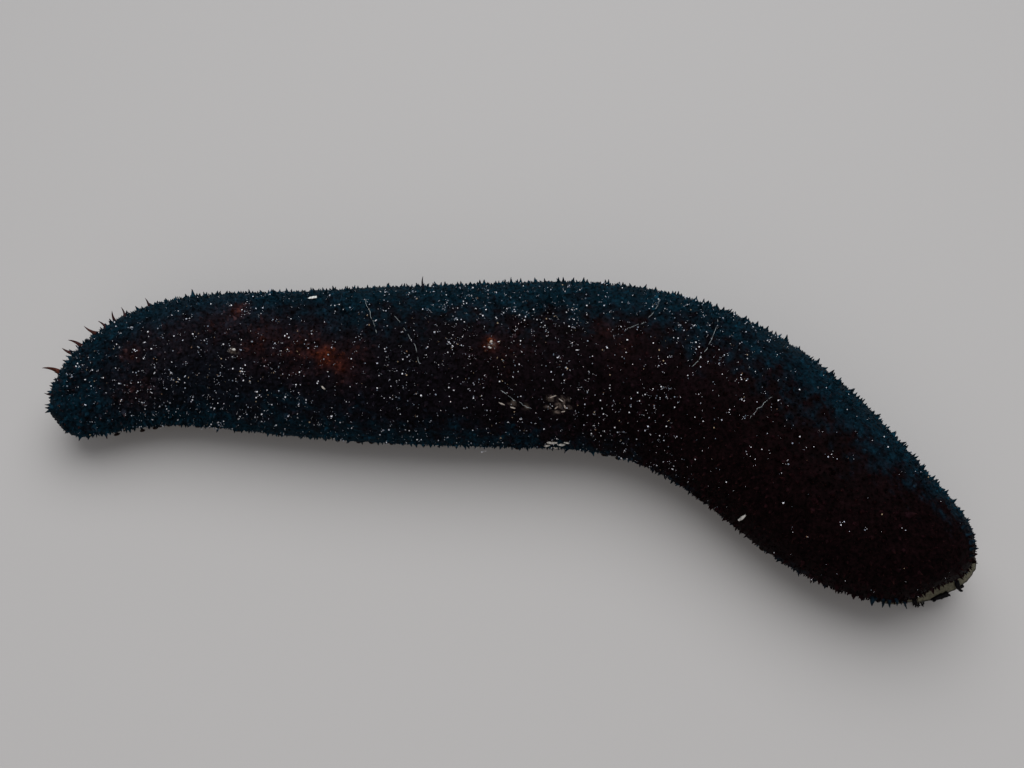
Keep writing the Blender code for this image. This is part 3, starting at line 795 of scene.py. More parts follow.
# One kind of papillae as five pieces along the body, and the places, directions and sizes it used.
def makePapillae(suffix, tree, roots, kind, surface, material):
    shares, angles = roots
    count = len(shares)
    draw = np.random.default_rng(kind["seed"])
    normals = bodyNormal(shares, angles)
    facing = unit(normals + draw.normal(0.0, 1.0, (count, 3)) * kind["lean"])
    rear = 1.0 - ease(shares / coatRules["rearReach"])
    size = 1.0 + kind["heightSpread"] * draw.uniform(-1, 1, count)
    long = draw.random(count) < kind["longShare"]
    high = kind["height"] * size * (1.0 + kind["rearGain"] * rear) * np.where(long, kind["longGain"], 1.0)
    low = np.clip(-np.sin(angles) / coatRules["lowFlank"], 0.0, 1.0)
    high = high * (1.0 - kind["flankLoss"] * low)
    least, gain = coatRules["slimness"]
    wide = kind["radius"] * (least + gain * high / kind["height"])
    wide = wide * draw.uniform(*coatRules["widthSpread"], count)
    places = bodyPoint(shares, angles) + normals * coatRules["lift"]
    keep = (places + facing * high[:, None])[:, 2] > coatRules["lowestTip"]
    keep &= ~onSmoothLip(places, shares)
    least, gain = coatRules["redTips"]
    variants = kind["variants"]
    values = {"facing": facing, "high": high, "wide": wide, "variant": draw.integers(0, variants, count),
              "rootUv": rootUv(shares, angles), "tip": draw.random(count) * (least + gain * rear),
              "shade": draw.random(count), **markAt(places, shares, angles, surface)}
    shapes = [ringShape(f"shape{suffix}{i}", kind["profile"], kind["sides"], kind["bend"] * i / variants,
                        coatRules["rough"], coatRules["shapeSeed"] + i) for i in range(variants)]
    pieces = []
    for name, (start, end) in coatRules["lengths"].items():
        pick = keep & (shares >= start) & (shares < end)
        chosen = {key: numbers[pick] for key, numbers in values.items()}
        pieces.append(scatterShapes(name + suffix, places[pick], chosen, shapes, tree, material))
    dropShapes(shapes)
    return pieces, (places[keep], facing[keep], high[keep], wide[keep])


# Wet skin: black tissue full of sea water, soft and leathery. Under water its relative IOR is near 1.1, so
# it shows little mirror shine and a maroon cast where thick. The teal along the flanks is a painted sheen,
# lighter on the papillae as painted light that they catch. Each colour is for the skin and for its papillae.
# Patterns are a size in metres and a detail, then limits and tones.
skinLook = {
    "base": ("#0b0405", "#110608"),
    # The teal pair is painted sheen, the papillae's lighter one also painted light that they catch; rust,
    # pale and sole are the skin's own colours.
    "casts": {"cool": ("#051720", "#07202b"), "rust": ("#35160f", "#62301a"), "pale": ("#5f544e", "#3a3330"),
              "sole": ("#241a16", "#1d1512")},
    "mottle": (0.0026, 4.0),
    "mottleTone": ((0.3, 0.7), (0.55, 1.5)),
    "speckle": (0.0009, 3.0),
    "speckleTone": ((0.32, 0.68), (0.35, 1.75)),
    "pores": (0.0004, 2.0),
    "leatherSize": 0.0009,
    "bump": (0.5, 0.0003),
    "tip": "#341c15",
    "tipStart": 0.35,
    "papillaTone": ((0.0, 1.0), (0.35, 1.45)),
    "roughness": (0.45, 0.65),
    "ior": 1.10,
    "specular": 0.2,
}


def makeSkinMaterial(name, onCoat):
    material = newMaterial(name)
    tree = material.node_tree
    place = addNode(tree, "ShaderNodeTexCoord").outputs["Object"]
    patterns = []
    for size, detail in (skinLook["mottle"], skinLook["speckle"], skinLook["pores"]):
        node = addNode(tree, "ShaderNodeTexNoise", {"Vector": place, "Scale": 1.0 / size, "Detail": detail})
        patterns.append(node.outputs["Fac"])
    mottle, speckle, pores = patterns
    colour = hexColour(skinLook["base"][onCoat])
    for mark, cast in skinLook["casts"].items():
        colour = addLayer(tree, colour, cast[onCoat], mark)
    colour = addTone(tree, colour, mottle, *skinLook["mottleTone"])
    colour = addTone(tree, colour, speckle, *skinLook["speckleTone"])
    if onCoat:
        along, tip, shade = [addNode(tree, "ShaderNodeAttribute", attribute_name=attribute).outputs["Fac"]
                             for attribute in ("along", "tip", "shade")]
        rise = addNode(tree, "ShaderNodeMapRange", {"Value": along, "From Min": skinLook["tipStart"]})
        amount = addNode(tree, "ShaderNodeMath", {0: rise.outputs[0], 1: tip}, operation="MULTIPLY")
        mix = addNode(tree, "ShaderNodeMix", {0: amount.outputs[0], 6: colour, 7: hexColour(skinLook["tip"])},
                      data_type="RGBA")
        colour = addTone(tree, mix.outputs[2], shade, *skinLook["papillaTone"])
    leather = addNode(tree, "ShaderNodeTexVoronoi", {"Vector": place, "Scale": 1.0 / skinLook["leatherSize"]},
                      feature="SMOOTH_F1")
    relief = addNode(tree, "ShaderNodeMath", {0: pores, 1: leather.outputs["Distance"], 2: 0.5},
                     operation="MULTIPLY_ADD")
    strength, distance = skinLook["bump"]
    bump = addNode(tree, "ShaderNodeBump",
                   {"Height": relief.outputs[0], "Strength": strength, "Distance": distance})
    smoothest, roughest = skinLook["roughness"]
    gloss = addNode(tree, "ShaderNodeMapRange", {"Value": mottle, "To Min": smoothest, "To Max": roughest})
    return finishMaterial(material, {
        "Base Color": colour, "Normal": bump.outputs[0], "Roughness": gloss.outputs[0],
        "IOR": skinLook["ior"], "Specular IOR Level": skinLook["specular"]})


# Single papillae that stand out, each by the pixels of its root and its tip, then its width and its redness.
longPapilla = {
    "spikes": [
        (56, 371, 42, 368, 1.25, 0.8), (74, 352, 62, 348, 1.25, 0.5), (79, 345, 68, 340, 1.15, 0.5),
        (96, 331, 84, 326, 1.1, 0.6), (106, 328, 98, 321, 0.9, 0.4), (115, 320, 112, 311, 0.9, 0.4),
        (124, 317, 121, 307, 0.8, 0.3), (54, 394, 44, 393, 0.8, 0.2), (148, 306, 145, 298, 0.8, 0.3),
        (424, 288, 423, 276, 0.8, 0.1), (130, 358, 124, 370, 0.7, 1.0), (148, 330, 143, 338, 0.6, 0.9),
        (156, 352, 164, 360, 0.6, 0.9), (962, 529, 970, 525, 1.1, 0.0), (966, 535, 974, 532, 1.1, 0.0),
        (970, 543, 977, 541, 1.5, 0.0), (970, 549, 976, 548, 1.2, 0.0), (970, 556, 975, 556, 1.1, 0.0),
        (874, 598, 872, 606, 1.8, 0.0), (883, 599, 882, 608, 1.2, 0.0), (890, 600, 890, 608, 1.1, 0.0),
        (896, 599, 897, 606, 1.2, 0.0), (905, 601, 907, 609, 1.0, 0.0),
    ],
    "sunk": 0.0007,
    "radius": 0.00046,
    "taper": (1.3, 0.85, 0.08),
    "rimSteps": 60,
    "rimStep": 0.25,
    "rings": 11,
    "sides": 10,
    "curl": 0.10,
    # strength of the painted teal sheen, and of rust where the papilla is red
    "cast": 0.6,
}


# The first place on the skin that the camera sees, going inwards from a pixel along its papilla.
def rimRoot(x, y, tipX, tipY, surface):
    inward = Vector((x - tipX, y - tipY)).normalized()
    for step in range(longPapilla["rimSteps"]):
        pixel = Vector((x, y)) + inward * longPapilla["rimStep"] * step
        if surface.ray_cast(viewPlace, pixelRay(*pixel))[0] is not None:
            break
    return skinBehind(*pixel, surface)


def makeLongPapillae(material, surface):
    parts = []
    rise = np.linspace(0.0, 1.0, longPapilla["rings"])
    root, power, tip = longPapilla["taper"]
    taper = root * (1.0 - rise) ** power + tip
    along = np.repeat(rise, longPapilla["sides"])
    for number, (x, y, tipX, tipY, width, red) in enumerate(longPapilla["spikes"]):
        root, normal = rimRoot(x, y, tipX, tipY, surface)
        depth = (viewPlace - root).dot(viewAway)
        ray = pixelRay(tipX, tipY)
        span = viewPlace + ray * (depth / -ray.dot(viewAway)) - root
        bend = np.array(viewAway.cross(span)) * longPapilla["curl"] * (1.0 if number % 2 else -1.0)
        start, end = np.array(root - normal * longPapilla["sunk"]), np.array(root + span)
        line = start * (1.0 - rise[:, None]) + end * rise[:, None]
        line = line + bend * (4.0 * rise * (1.0 - rise))[:, None]
        points, faces = tube(line, longPapilla["radius"] * width * taper, longPapilla["sides"])
        # Long papillae take the painted teal sheen at this strength, and rust by their redness.
        marks = {"cool": longPapilla["cast"], "rust": longPapilla["cast"] * red, "pale": 0.0, "sole": 0.0}
        parts.append((points, faces, {**marks, "tip": red, "along": along, "shade": 0.5}))
    return makePiece("longPapillae", parts, material)


# Tube feet: short stalks with ringed walls that end in a sucker. Those under the body stand on the floor, and
# those at its edge hang free.
tubeFoot = {
    "spacing": 0.0043,
    "rowPitch": 0.87,
    "acrossJitter": 0.055,
    "alongJitter": 0.00264,
    "shares": (0.045, 0.905),
    "reach": 0.80,
    "edge": 0.60,
    "radius": 0.00050,
    "widthSpread": (0.85, 1.12),
    "splay": 0.30,
    "shortest": 0.0003,
    "longest": 0.0036,
    "discLift": 0.0001,
    "freeLength": 0.0017,
    "freeSpread": (0.75, 1.2),
    "freeLean": (0.8, 0.45),
    "lowest": 0.00002,
    "seed": 8,
    "variants": 4,
    "sides": 9,
    "bend": 0.10,
    "rough": 0.05,
    "shapeSeed": 60,
    "profile": [(1.35, -0.22), (1.05, 0.02), (0.86, 0.16), (0.94, 0.28), (0.80, 0.40), (0.88, 0.52),
                (0.76, 0.64), (0.84, 0.76), (1.35, 0.88), (1.75, 0.955), (1.62, 1.0), (0.75, 0.985),
                (0.30, 0.93)],
}


def makeTubeFeet(tree, material):
    draw = np.random.default_rng(tubeFoot["seed"])
    spacing, reach, (first, last) = tubeFoot["spacing"], tubeFoot["reach"], tubeFoot["shares"]
    shares, offs = [], []
    for row in range(int(body["length"] * (last - first) / (spacing * tubeFoot["rowPitch"]))):
        share = first + row * spacing * tubeFoot["rowPitch"] / body["length"]
        half = float(sectionAt(np.array(share))[0])
        count = max(2, int(2.0 * reach * half / spacing))
        for k in range(count):
            place = (k + 0.25 + 0.5 * (row % 2)) / count * 2.0 - 1.0
            offs.append(place * reach + draw.normal() * tubeFoot["acrossJitter"])
            shares.append(share + draw.normal() * tubeFoot["alongJitter"])
    shares, offs = np.array(shares), np.clip(np.array(offs), -reach, reach)
    angles = offs - math.pi / 2.0
    places, normals = bodyPoint(shares, angles), bodyNormal(shares, angles)
    facing = unit(tubeFoot["splay"] * (normals * (1.0, 1.0, 0.0)) - upward)
    discRadius = tubeFoot["radius"] * max(radius for radius, _ in tubeFoot["profile"])
    slope = np.sqrt(1.0 - facing[:, 2] ** 2)
    high = (places[:, 2] - tubeFoot["discLift"] - discRadius * slope) / -facing[:, 2]
    free = (np.abs(offs) > tubeFoot["edge"]) | (high > tubeFoot["longest"])
    sideways, down = tubeFoot["freeLean"]
    facing[free] = unit(normals * sideways - upward * down)[free]
    high[free] = tubeFoot["freeLength"] * draw.uniform(*tubeFoot["freeSpread"], free.sum())
    tips = places + facing * high[:, None]
    keep = (tips[:, 2] > tubeFoot["lowest"]) & (high > tubeFoot["shortest"])
    count = keep.sum()
    values = {
        "facing": facing[keep],
        "high": high[keep],
        "wide": np.full(count, tubeFoot["radius"]) * draw.uniform(*tubeFoot["widthSpread"], count),
        "variant": draw.integers(0, tubeFoot["variants"], count),
        "rootUv": rootUv(shares[keep], angles[keep]),
    }
    shapes = [ringShape(f"footShape{i}", tubeFoot["profile"], tubeFoot["sides"], tubeFoot["bend"] * i,
                        tubeFoot["rough"], tubeFoot["shapeSeed"] + i) for i in range(tubeFoot["variants"])]
    item = scatterShapes("tubeFeet", places[keep], values, shapes, tree, material)
    dropShapes(shapes)
    return item


# Vent: a puckered ring at the rear end, folded towards its dark middle, with five groups of small papillae.
# Its profile is radii, distances out from the rear end and how strongly the folds show.
vent = {
    "sides": 120,
    "profile": [(0.0038, -0.0030, 0.1), (0.0038, -0.0012, 0.3), (0.0037, -0.0001, 0.5), (0.0034, 0.0006, 0.8),
                (0.0029, 0.0010, 1.0), (0.0023, 0.0010, 1.2), (0.0017, 0.0006, 1.6), (0.0012, 0.0000, 2.0),
                (0.0008, -0.0006, 2.2), (0.0005, -0.0010, 2.0), (0.0003, -0.0013, 1.5)],
    "darkRadius": 0.0026,
    "folds": 15,
    "foldDepth": 0.065,
    "innerDepth": 0.4,
    "foldHeight": 0.00014,
    "foldSway": 0.12,
    "toothGroups": 5,
    "teeth": 3,
    "toothGap": 0.16,
    "toothTurn": 0.3,
    "toothRing": 0.0036,
    "toothLift": 0.0001,
    "toothLean": (0.75, 0.66),
    "toothDroop": 0.18,
    "toothLength": 0.0014,
    "toothSunk": 0.25,
    "toothSpread": (0.8, 1.15),
    "toothRadius": 0.00036,
    "toothTaper": [1.5, 1.25, 0.95, 0.72, 0.5, 0.3, 0.12],
    "toothSides": 9,
    "seed": 14,
}


def makeVent(material):
    middle, out = rearCap()
    side = np.array((-out[1], out[0], 0.0))
    draw = random.Random(vent["seed"])
    folds, inner = vent["folds"], vent["innerDepth"]
    phases = [draw.uniform(-vent["foldSway"], vent["foldSway"]) for _ in range(folds)]
    rimRadius = vent["profile"][0][0]
    corners, depth = [], []
    for radius, away, weight in vent["profile"]:
        for angle in ringAngles(vent["sides"]):
            fold = angle * folds / (2.0 * math.pi)
            phase = phases[int(fold) % folds] * math.sin(math.pi * (fold % 1.0))
            crest = math.cos(2.0 * math.pi * (fold + phase))
            deep = vent["foldDepth"] * weight * crest * (inner + (1.0 - inner) * radius / rimRadius)
            local = radius * (1.0 + deep)
            rise = away + vent["foldHeight"] * weight * crest
            corners.append(middle + out * rise + side * (local * math.cos(angle))
                           + upward * (local * math.sin(angle)))
            depth.append(min(1.0, max(0.0, 1.0 - radius / vent["darkRadius"])))
    parts = [(np.array(corners), ringFaces(len(vent["profile"]), vent["sides"]), {"deep": np.array(depth)})]
    steps = np.linspace(-vent["toothSunk"], 1.0, len(vent["toothTaper"]))[:, None]
    outwards, sideways = vent["toothLean"]
    for group in range(vent["toothGroups"]):
        for tooth in range(vent["teeth"]):
            turn = group + vent["toothGap"] * (tooth - (vent["teeth"] - 1) / 2.0)
            angle = 2.0 * math.pi * turn / vent["toothGroups"] + vent["toothTurn"]
            spoke = side * math.cos(angle) + upward * math.sin(angle)
            root = middle + out * vent["toothLift"] + spoke * vent["toothRing"]
            reach = vent["toothLength"] * draw.uniform(*vent["toothSpread"])
            line = root + steps * reach * (out * outwards + spoke * sideways)
            line = line - out * reach * vent["toothDroop"] * steps ** 2
            radii = vent["toothRadius"] * np.array(vent["toothTaper"])
            parts.append((*tube(line, radii, vent["toothSides"]), {"deep": 0.0}))
    return makePiece("ventFolds", parts, material)


# Mouth: a soft disc under the front end with a ring of feeding tentacles. They reach furthest ahead and a
# little to the camera's side. Every second one is shorter.
mouth = {
    "sides": 72,
    "profile": [(0.0066, 0.0105), (0.0064, 0.0066), (0.0061, 0.0040), (0.0053, 0.0026), (0.0042, 0.0020),
                (0.0030, 0.0021), (0.0021, 0.0027), (0.0015, 0.0036), (0.0010, 0.0048), (0.0005, 0.0060)],
    "darkRadius": 0.0040,
    "folds": 20,
    "foldDepth": 0.05,
    "foldHeight": 0.00012,
    "tentacles": 20,
    "firstDirection": 160.0,
    "directionSpread": 4.0,
    "farDirection": -20.0,
    "leastReach": 0.0092,
    "reachGain": 0.0064,
    "shortReach": 0.86,
    "reachSpread": (0.95, 1.03),
    "seed": 3,
}
# One tentacle: a bent, ringed stalk, a domed shield with a lobed edge, and forked fingers round it.
tentacle = {
    "rootRadius": 0.0046,
    "rootHeight": 0.0036,
    "endHeight": 0.0013,
    "sway": 0.0012,
    "swayTurn": 0.8,
    "levelling": 1.25,
    "rings": 13,
    "sides": 10,
    "radius": 0.00078,
    "taper": (1.15, 0.45),
    "creases": (0.08, 40.0),
    "shieldRings": 6,
    "shieldSides": 30,
    "shieldRadius": 0.0019,
    "shieldPart": 0.62,
    "shieldHeight": 0.00038,
    "shieldAhead": 0.0006,
    "shieldLift": 0.0001,
    "shieldDark": 0.35,
    "shieldRipe": 0.7,
    "lobes": (7, 9),
    "lobeDepth": 0.20,
    "lobeHeight": 0.0001,
    "fingers": 11,
    "fingerFan": 150.0,
    "fingerSway": 0.12,
    "fingerRoot": 0.45,
    "fingerLength": 0.0017,
    "fingerSpread": (0.7, 1.1),
    "fingerAhead": (0.75, 0.25),
    "fingerDark": (0.35, 0.7, 1.0),  # at its root, at its twigs' roots and at all ends
    "fingerCurl": 0.35,
    "fingerDrop": 0.0007,
    "fingerRadius": 0.00021,
    "fingerKnobs": [1.5, 1.15, 1.3, 1.0, 1.2, 0.95, 0.45],
    "fingerSides": 7,
    "fingerLift": 0.00008,
    "twigRoot": 3,
    "twigLean": (0.75, 0.8),
    "twigLength": 0.38,
    "twigKnobs": [0.9, 0.8, 0.85, 0.4],
    "twigSides": 6,
    "twigLowest": 0.00024,
}


def makePeristome():
    corners, deep = [], []
    for radius, height in mouth["profile"]:
        for angle in ringAngles(mouth["sides"]):
            crest = math.cos(mouth["folds"] * angle)
            local = radius * (1.0 + mouth["foldDepth"] * crest)
            corners.append((mouthPlace[0] + local * math.cos(angle), mouthPlace[1] + local * math.sin(angle),
                            height + mouth["foldHeight"] * crest))
            deep.append(min(1.0, max(0.0, 1.0 - radius / mouth["darkRadius"])))
    faces = ringFaces(len(mouth["profile"]), mouth["sides"])
    return np.array(corners), faces, {"dark": np.array(deep), "ripe": 0.0}


def makeShield(tip, out, side, lobes):
    corners, dark = [], []
    rings, depth = tentacle["shieldRings"], tentacle["lobeDepth"]
    radius = tentacle["shieldRadius"] * tentacle["shieldPart"]
    for r in range(rings):
        turn = -math.pi / 2.0 + math.pi * (r + 0.5) / rings
        for angle in ringAngles(tentacle["shieldSides"]):
            wave = math.cos(lobes * angle)
            local = radius * math.cos(turn) * (1.0 - depth + depth * wave)
            height = tentacle["shieldHeight"] * math.sin(turn) + tentacle["shieldLift"]
            height = height + tentacle["lobeHeight"] * wave * math.cos(turn)
            corners.append(tip + out * (tentacle["shieldAhead"] + local * math.cos(angle))
                           + side * (local * math.sin(angle)) + upward * height)
            dark.append(tentacle["shieldDark"] * math.cos(turn))
    faces = ringFaces(rings, tentacle["shieldSides"])
    return np.array(corners), faces, {"dark": np.array(dark), "ripe": tentacle["shieldRipe"]}


# A finger that curls and drops, with a twig on each side. It darkens towards its end.
def makeFinger(tip, out, side, angle, draw):
    parts = []
    ray = out * math.cos(angle) + side * math.sin(angle)
    cross = np.cross(upward, ray)
    root = tip + out * tentacle["shieldAhead"] + ray * tentacle["shieldRadius"] * tentacle["fingerRoot"]
    root = root + upward * tentacle["shieldLift"]
    length = tentacle["fingerLength"] * draw.uniform(*tentacle["fingerSpread"])
    length = length * (tentacle["fingerAhead"][0] + tentacle["fingerAhead"][1] * math.cos(angle))
    rootDark, twigDark, endDark = tentacle["fingerDark"]
    curl = draw.uniform(-tentacle["fingerCurl"], tentacle["fingerCurl"])
    knobs = tentacle["fingerRadius"] * np.array(tentacle["fingerKnobs"])
    along = np.linspace(0.0, 1.0, len(knobs))[:, None]
    drop = upward * (-tentacle["fingerDrop"] * along ** 2 * (tip[2] / tentacle["endHeight"]))
    bent = root + ray * along * length + cross * curl * length * along ** 2 + drop
    bent[:, 2] = np.maximum(bent[:, 2], knobs + tentacle["fingerLift"])
    dark = np.repeat(np.linspace(rootDark, endDark, len(knobs)), tentacle["fingerSides"])
    parts.append((*tube(bent, knobs, tentacle["fingerSides"]), {"dark": dark, "ripe": 1.0}))
    knobs = tentacle["fingerRadius"] * np.array(tentacle["twigKnobs"])
    along = np.linspace(0.0, 1.0, len(knobs))[:, None]
    dark = np.repeat(np.linspace(twigDark, endDark, len(knobs)), tentacle["twigSides"])
    ahead, aside = tentacle["twigLean"]
    for way in (-1.0, 1.0):
        lean = (ray * ahead + cross * way * aside) * length * tentacle["twigLength"]
        twig = bent[tentacle["twigRoot"]] + lean * along
        twig[:, 2] = np.maximum(twig[:, 2], tentacle["twigLowest"])
        parts.append((*tube(twig, knobs, tentacle["twigSides"]), {"dark": dark, "ripe": 1.0}))
    return parts


def makeTentacle(direction, reach, draw):
    heading = math.radians(direction)
    out = np.array((math.cos(heading), math.sin(heading), 0.0))
    side = np.array((-out[1], out[0], 0.0))
    sway = draw.uniform(-tentacle["sway"], tentacle["sway"])
    steps = np.linspace(0.0, 1.0, tentacle["rings"])
    root, high = tentacle["rootRadius"], tentacle["rootHeight"]
    radial = root + (reach - tentacle["shieldRadius"] - root) * steps
    level = high + (tentacle["endHeight"] - high) * ease(steps * tentacle["levelling"])
    line = np.array((*mouthPlace, 0.0)) + np.outer(radial, out)
    aside = np.sin(steps * math.pi * tentacle["swayTurn"]) * sway
    line = line + np.outer(aside, side) + np.outer(level, upward)
    thick, loss = tentacle["taper"]
    depth, count = tentacle["creases"]
    radii = tentacle["radius"] * (thick - loss * steps) * (1.0 + depth * np.cos(steps * count))
    ripe = np.repeat(steps, tentacle["sides"]) * 0.5
    parts = [(*tube(line, radii, tentacle["sides"]), {"dark": 0.0, "ripe": ripe})]
    parts.append(makeShield(line[-1], out, side, draw.randint(*tentacle["lobes"])))
    fan, fingers = tentacle["fingerFan"], tentacle["fingers"]
    for f in range(fingers):
        angle = math.radians(-fan + 2.0 * fan * f / (fingers - 1))
        angle += draw.uniform(-tentacle["fingerSway"], tentacle["fingerSway"])
        parts += makeFinger(line[-1], out, side, angle, draw)
    return parts


def makeMouth(material):
    draw = random.Random(mouth["seed"])
    parts = [makePeristome()]
    for k in range(mouth["tentacles"]):
        direction = 360.0 * k / mouth["tentacles"] - mouth["firstDirection"]
        direction += draw.uniform(-mouth["directionSpread"], mouth["directionSpread"])
        ahead = max(0.0, math.cos(math.radians(direction - mouth["farDirection"])))
        reach = mouth["leastReach"] + mouth["reachGain"] * ahead ** 2
        reach = reach * (mouth["shortReach"] if k % 2 else 1.0) * draw.uniform(*mouth["reachSpread"])
        parts += makeTentacle(direction, reach, draw)
    return makePiece("mouthTentacles", parts, material)


# Grains that cling to papillae and skin: shell and quartz sand, 0.15 to 0.5 mm, with a few longer splinters.
# They lie thick round the dense spots, each a pixel with a radius in mm and a strength, and thin elsewhere.
grain = {
    "count": 5900,
    "tries": 5,
    "shares": (0.01, 0.985),
    "lowAngle": 0.55,
    "chance": 0.75,
    "onPapilla": 0.5,
    "papillaPart": (0.15, 0.85),
    "papillaSlope": (1.05, 0.9),
    "lift": 0.00018,
    "least": 0.00007,
    "spread": 0.00019,
    "longShare": 0.08,
    "longStretch": (1.8, 3.0),
    "longWidth": 0.6,
    "stretch": (0.8, 1.2),
    "rough": (0.72, 1.15),
    "clusterShare": 0.32,
    "clusterReach": 0.0011,
    "clusterSpread": (0.35, 1.0),
    "clusterMemory": 400,
    "base": 0.105,
    "frontShare": 0.62,
    "frontSoftness": 0.12,
    "frontLoss": 0.55,
    "denseSpots": [
        (460, 330, 16.0, 1.0), (510, 334, 14.0, 1.0), (565, 336, 15.0, 1.0), (600, 350, 14.0, 0.7),
        (500, 370, 20.0, 0.40), (620, 395, 20.0, 0.4), (540, 425, 20.0, 0.28), (330, 422, 18.0, 0.5),
        (400, 432, 18.0, 0.4), (470, 432, 18.0, 0.25), (280, 405, 18.0, 0.75), (230, 385, 18.0, 0.7),
        (290, 365, 12.0, 0.6), (180, 385, 18.0, 0.6), (120, 395, 16.0, 0.55), (90, 380, 14.0, 0.7),
        (680, 340, 18.0, 0.7), (720, 350, 16.0, 0.6), (400, 360, 20.0, 0.45), (250, 315, 14.0, 0.35),
        (780, 420, 20.0, 0.15), (200, 300, 12.0, 0.3), (400, 300, 14.0, 0.4), (660, 440, 18.0, 0.2),
    ],
    "variants": 6,
    "bakePatch": 0.3,
    "shapeSeed": 300,
    "seed": 31,
}


def grainShape(name, seed):
    bm = bmesh.new()
    bmesh.ops.create_icosphere(bm, subdivisions=1, radius=1.0)
    draw = random.Random(seed)
    for corner in bm.verts:
        corner.co *= draw.uniform(*grain["rough"])
    mesh = bpy.data.meshes.new(name)
    bm.to_mesh(mesh)
    bm.free()
    size = grain["bakePatch"]
    patch = np.array([(v.co.x * size, v.co.y * size, 0.0) for v in mesh.vertices])
    setAttributes(mesh, {"patch": patch})
    return bpy.data.objects.new(name, mesh)


def makeGrains(tree, material, surface, papillae):
    draw = np.random.default_rng(grain["seed"])
    places, facing, high, wide = papillae
    tries = grain["count"] * grain["tries"]
    shares = draw.uniform(*grain["shares"], tries)
    angles = draw.uniform(-grain["lowAngle"], math.pi + grain["lowAngle"], tries)
    skinPlaces, skinNormals = bodyPoint(shares, angles), bodyNormal(shares, angles)
    nearest = pointTree(places)
    dense = spotStrength(skinPlaces, grain["denseSpots"], surface)
    girth = sectionAt(shares)[0] / body["frontHalfWidth"]
    front = ease((shares - grain["frontShare"]) / grain["frontSoftness"])
    base = grain["base"] * (1.0 - grain["frontLoss"] * front)
    chance = (base + (1.0 - base) * dense) * girth
    chosen = np.nonzero(draw.random(tries) < chance * grain["chance"])[0][:grain["count"]]
    count = len(chosen)
    points, directions = [], []
    for i in chosen:
        place, normal = skinPlaces[i], skinNormals[i]
        away = draw.normal(size=3)
        if draw.random() < grain["onPapilla"]:
            k = nearest.find(Vector(place))[1]
            level = draw.uniform(*grain["papillaPart"])
            aside = unit(away - facing[k] * away.dot(facing[k]))
            out = wide[k] * (grain["papillaSlope"][0] - grain["papillaSlope"][1] * level)
            point = places[k] + facing[k] * high[k] * level + aside * out
        else:
            point = place + normal * grain["lift"]
        if points and draw.random() < grain["clusterShare"]:
            mate = points[draw.integers(max(0, len(points) - grain["clusterMemory"]), len(points))]
            aside = unit(away - normal * away.dot(normal))
            point = mate + aside * grain["clusterReach"] * draw.uniform(*grain["clusterSpread"])
        points.append(point)
        directions.append(unit(away))
    size = grain["least"] + grain["spread"] * draw.random(count) ** 4
    long = draw.random(count) < grain["longShare"]
    longStretch, stretch = draw.uniform(*grain["longStretch"], count), draw.uniform(*grain["stretch"], count)
    values = {
        "facing": np.array(directions),
        "high": size * np.where(long, longStretch, stretch),
        "wide": size * np.where(long, grain["longWidth"], 1.0),
        "variant": draw.integers(0, grain["variants"], count),
        "rootUv": rootUv(shares[chosen], angles[chosen]),
        "shade": draw.random(count),
    }
    shapes = [grainShape(f"grainShape{i}", grain["shapeSeed"] + i) for i in range(grain["variants"])]
    item = scatterShapes("grains", np.array(points), values, shapes, tree, material)
    item.data.shade_flat()
    dropShapes(shapes)
    return item


# Threads that lie over the papillae, each by pixels of the picture set down on the skin.
thread = {
    "routes": [
        [(366, 298), (369, 312), (374, 322), (377, 335)],
        [(393, 315), (402, 327), (411, 339), (416, 348), (420, 364)],
        [(660, 302), (655, 311), (646, 322), (636, 327), (626, 330)],
        [(717, 321), (714, 336), (707, 349), (700, 358), (693, 367)],
        [(772, 399), (763, 406), (757, 411), (750, 419)],
        [(498, 388), (512, 398), (526, 405), (534, 409)],
    ],
    "radius": 0.000055,
    "lift": 0.00070,
    "steps": 14,
    "waviness": 0.00038,
    "waves": 1.7,
    "breaks": 0.22,
    "breakWaves": 4.0,
    "shortest": 4,
    "thickness": (0.8, 0.9),
    "thickWaves": 3.0,
    "endThickness": 0.3,
    "sides": 6,
}


def onSkin(x, y, surface, lift):
    place, normal = skinBehind(x, y, surface)
    return place + normal * lift, normal


# Each route is a wavy line that breaks off and starts again.
def makeThreads(material, surface):
    parts = []
    for number, route in enumerate(thread["routes"]):
        x, y = np.array(route, float).T
        share = np.linspace(0.0, len(route) - 1.0, thread["steps"] * (len(route) - 1) + 1)
        line, solid, widths = [], [], []
        for t in share:
            spot = onSkin(np.interp(t, range(len(route)), x), np.interp(t, range(len(route)), y), surface,
                          thread["lift"])[0]
            wave = noise.noise_vector(Vector((t * thread["waves"], number * 5.0, 0.0))) * thread["waviness"]
            line.append(np.array(spot) + np.array(wave))
            gap = noise.noise(Vector((t * thread["breakWaves"], number * 3.0, 7.0)))
            solid.append(gap > -thread["breaks"])
            swell = noise.noise(Vector((t * thread["thickWaves"], 9.0 * number, 2.0)))
            widths.append(thread["thickness"][0] + thread["thickness"][1] * swell)
        first = 0
        for i in range(len(share) + 1):
            if i < len(share) and solid[i]:
                continue
            if i - first >= thread["shortest"]:
                width = np.array(widths[first:i])
                width[0] = width[-1] = thread["endThickness"]
                parts.append((*tube(line[first:i], thread["radius"] * width, thread["sides"]), {}))
            first = i + 1
    return makePiece("threads", parts, material)


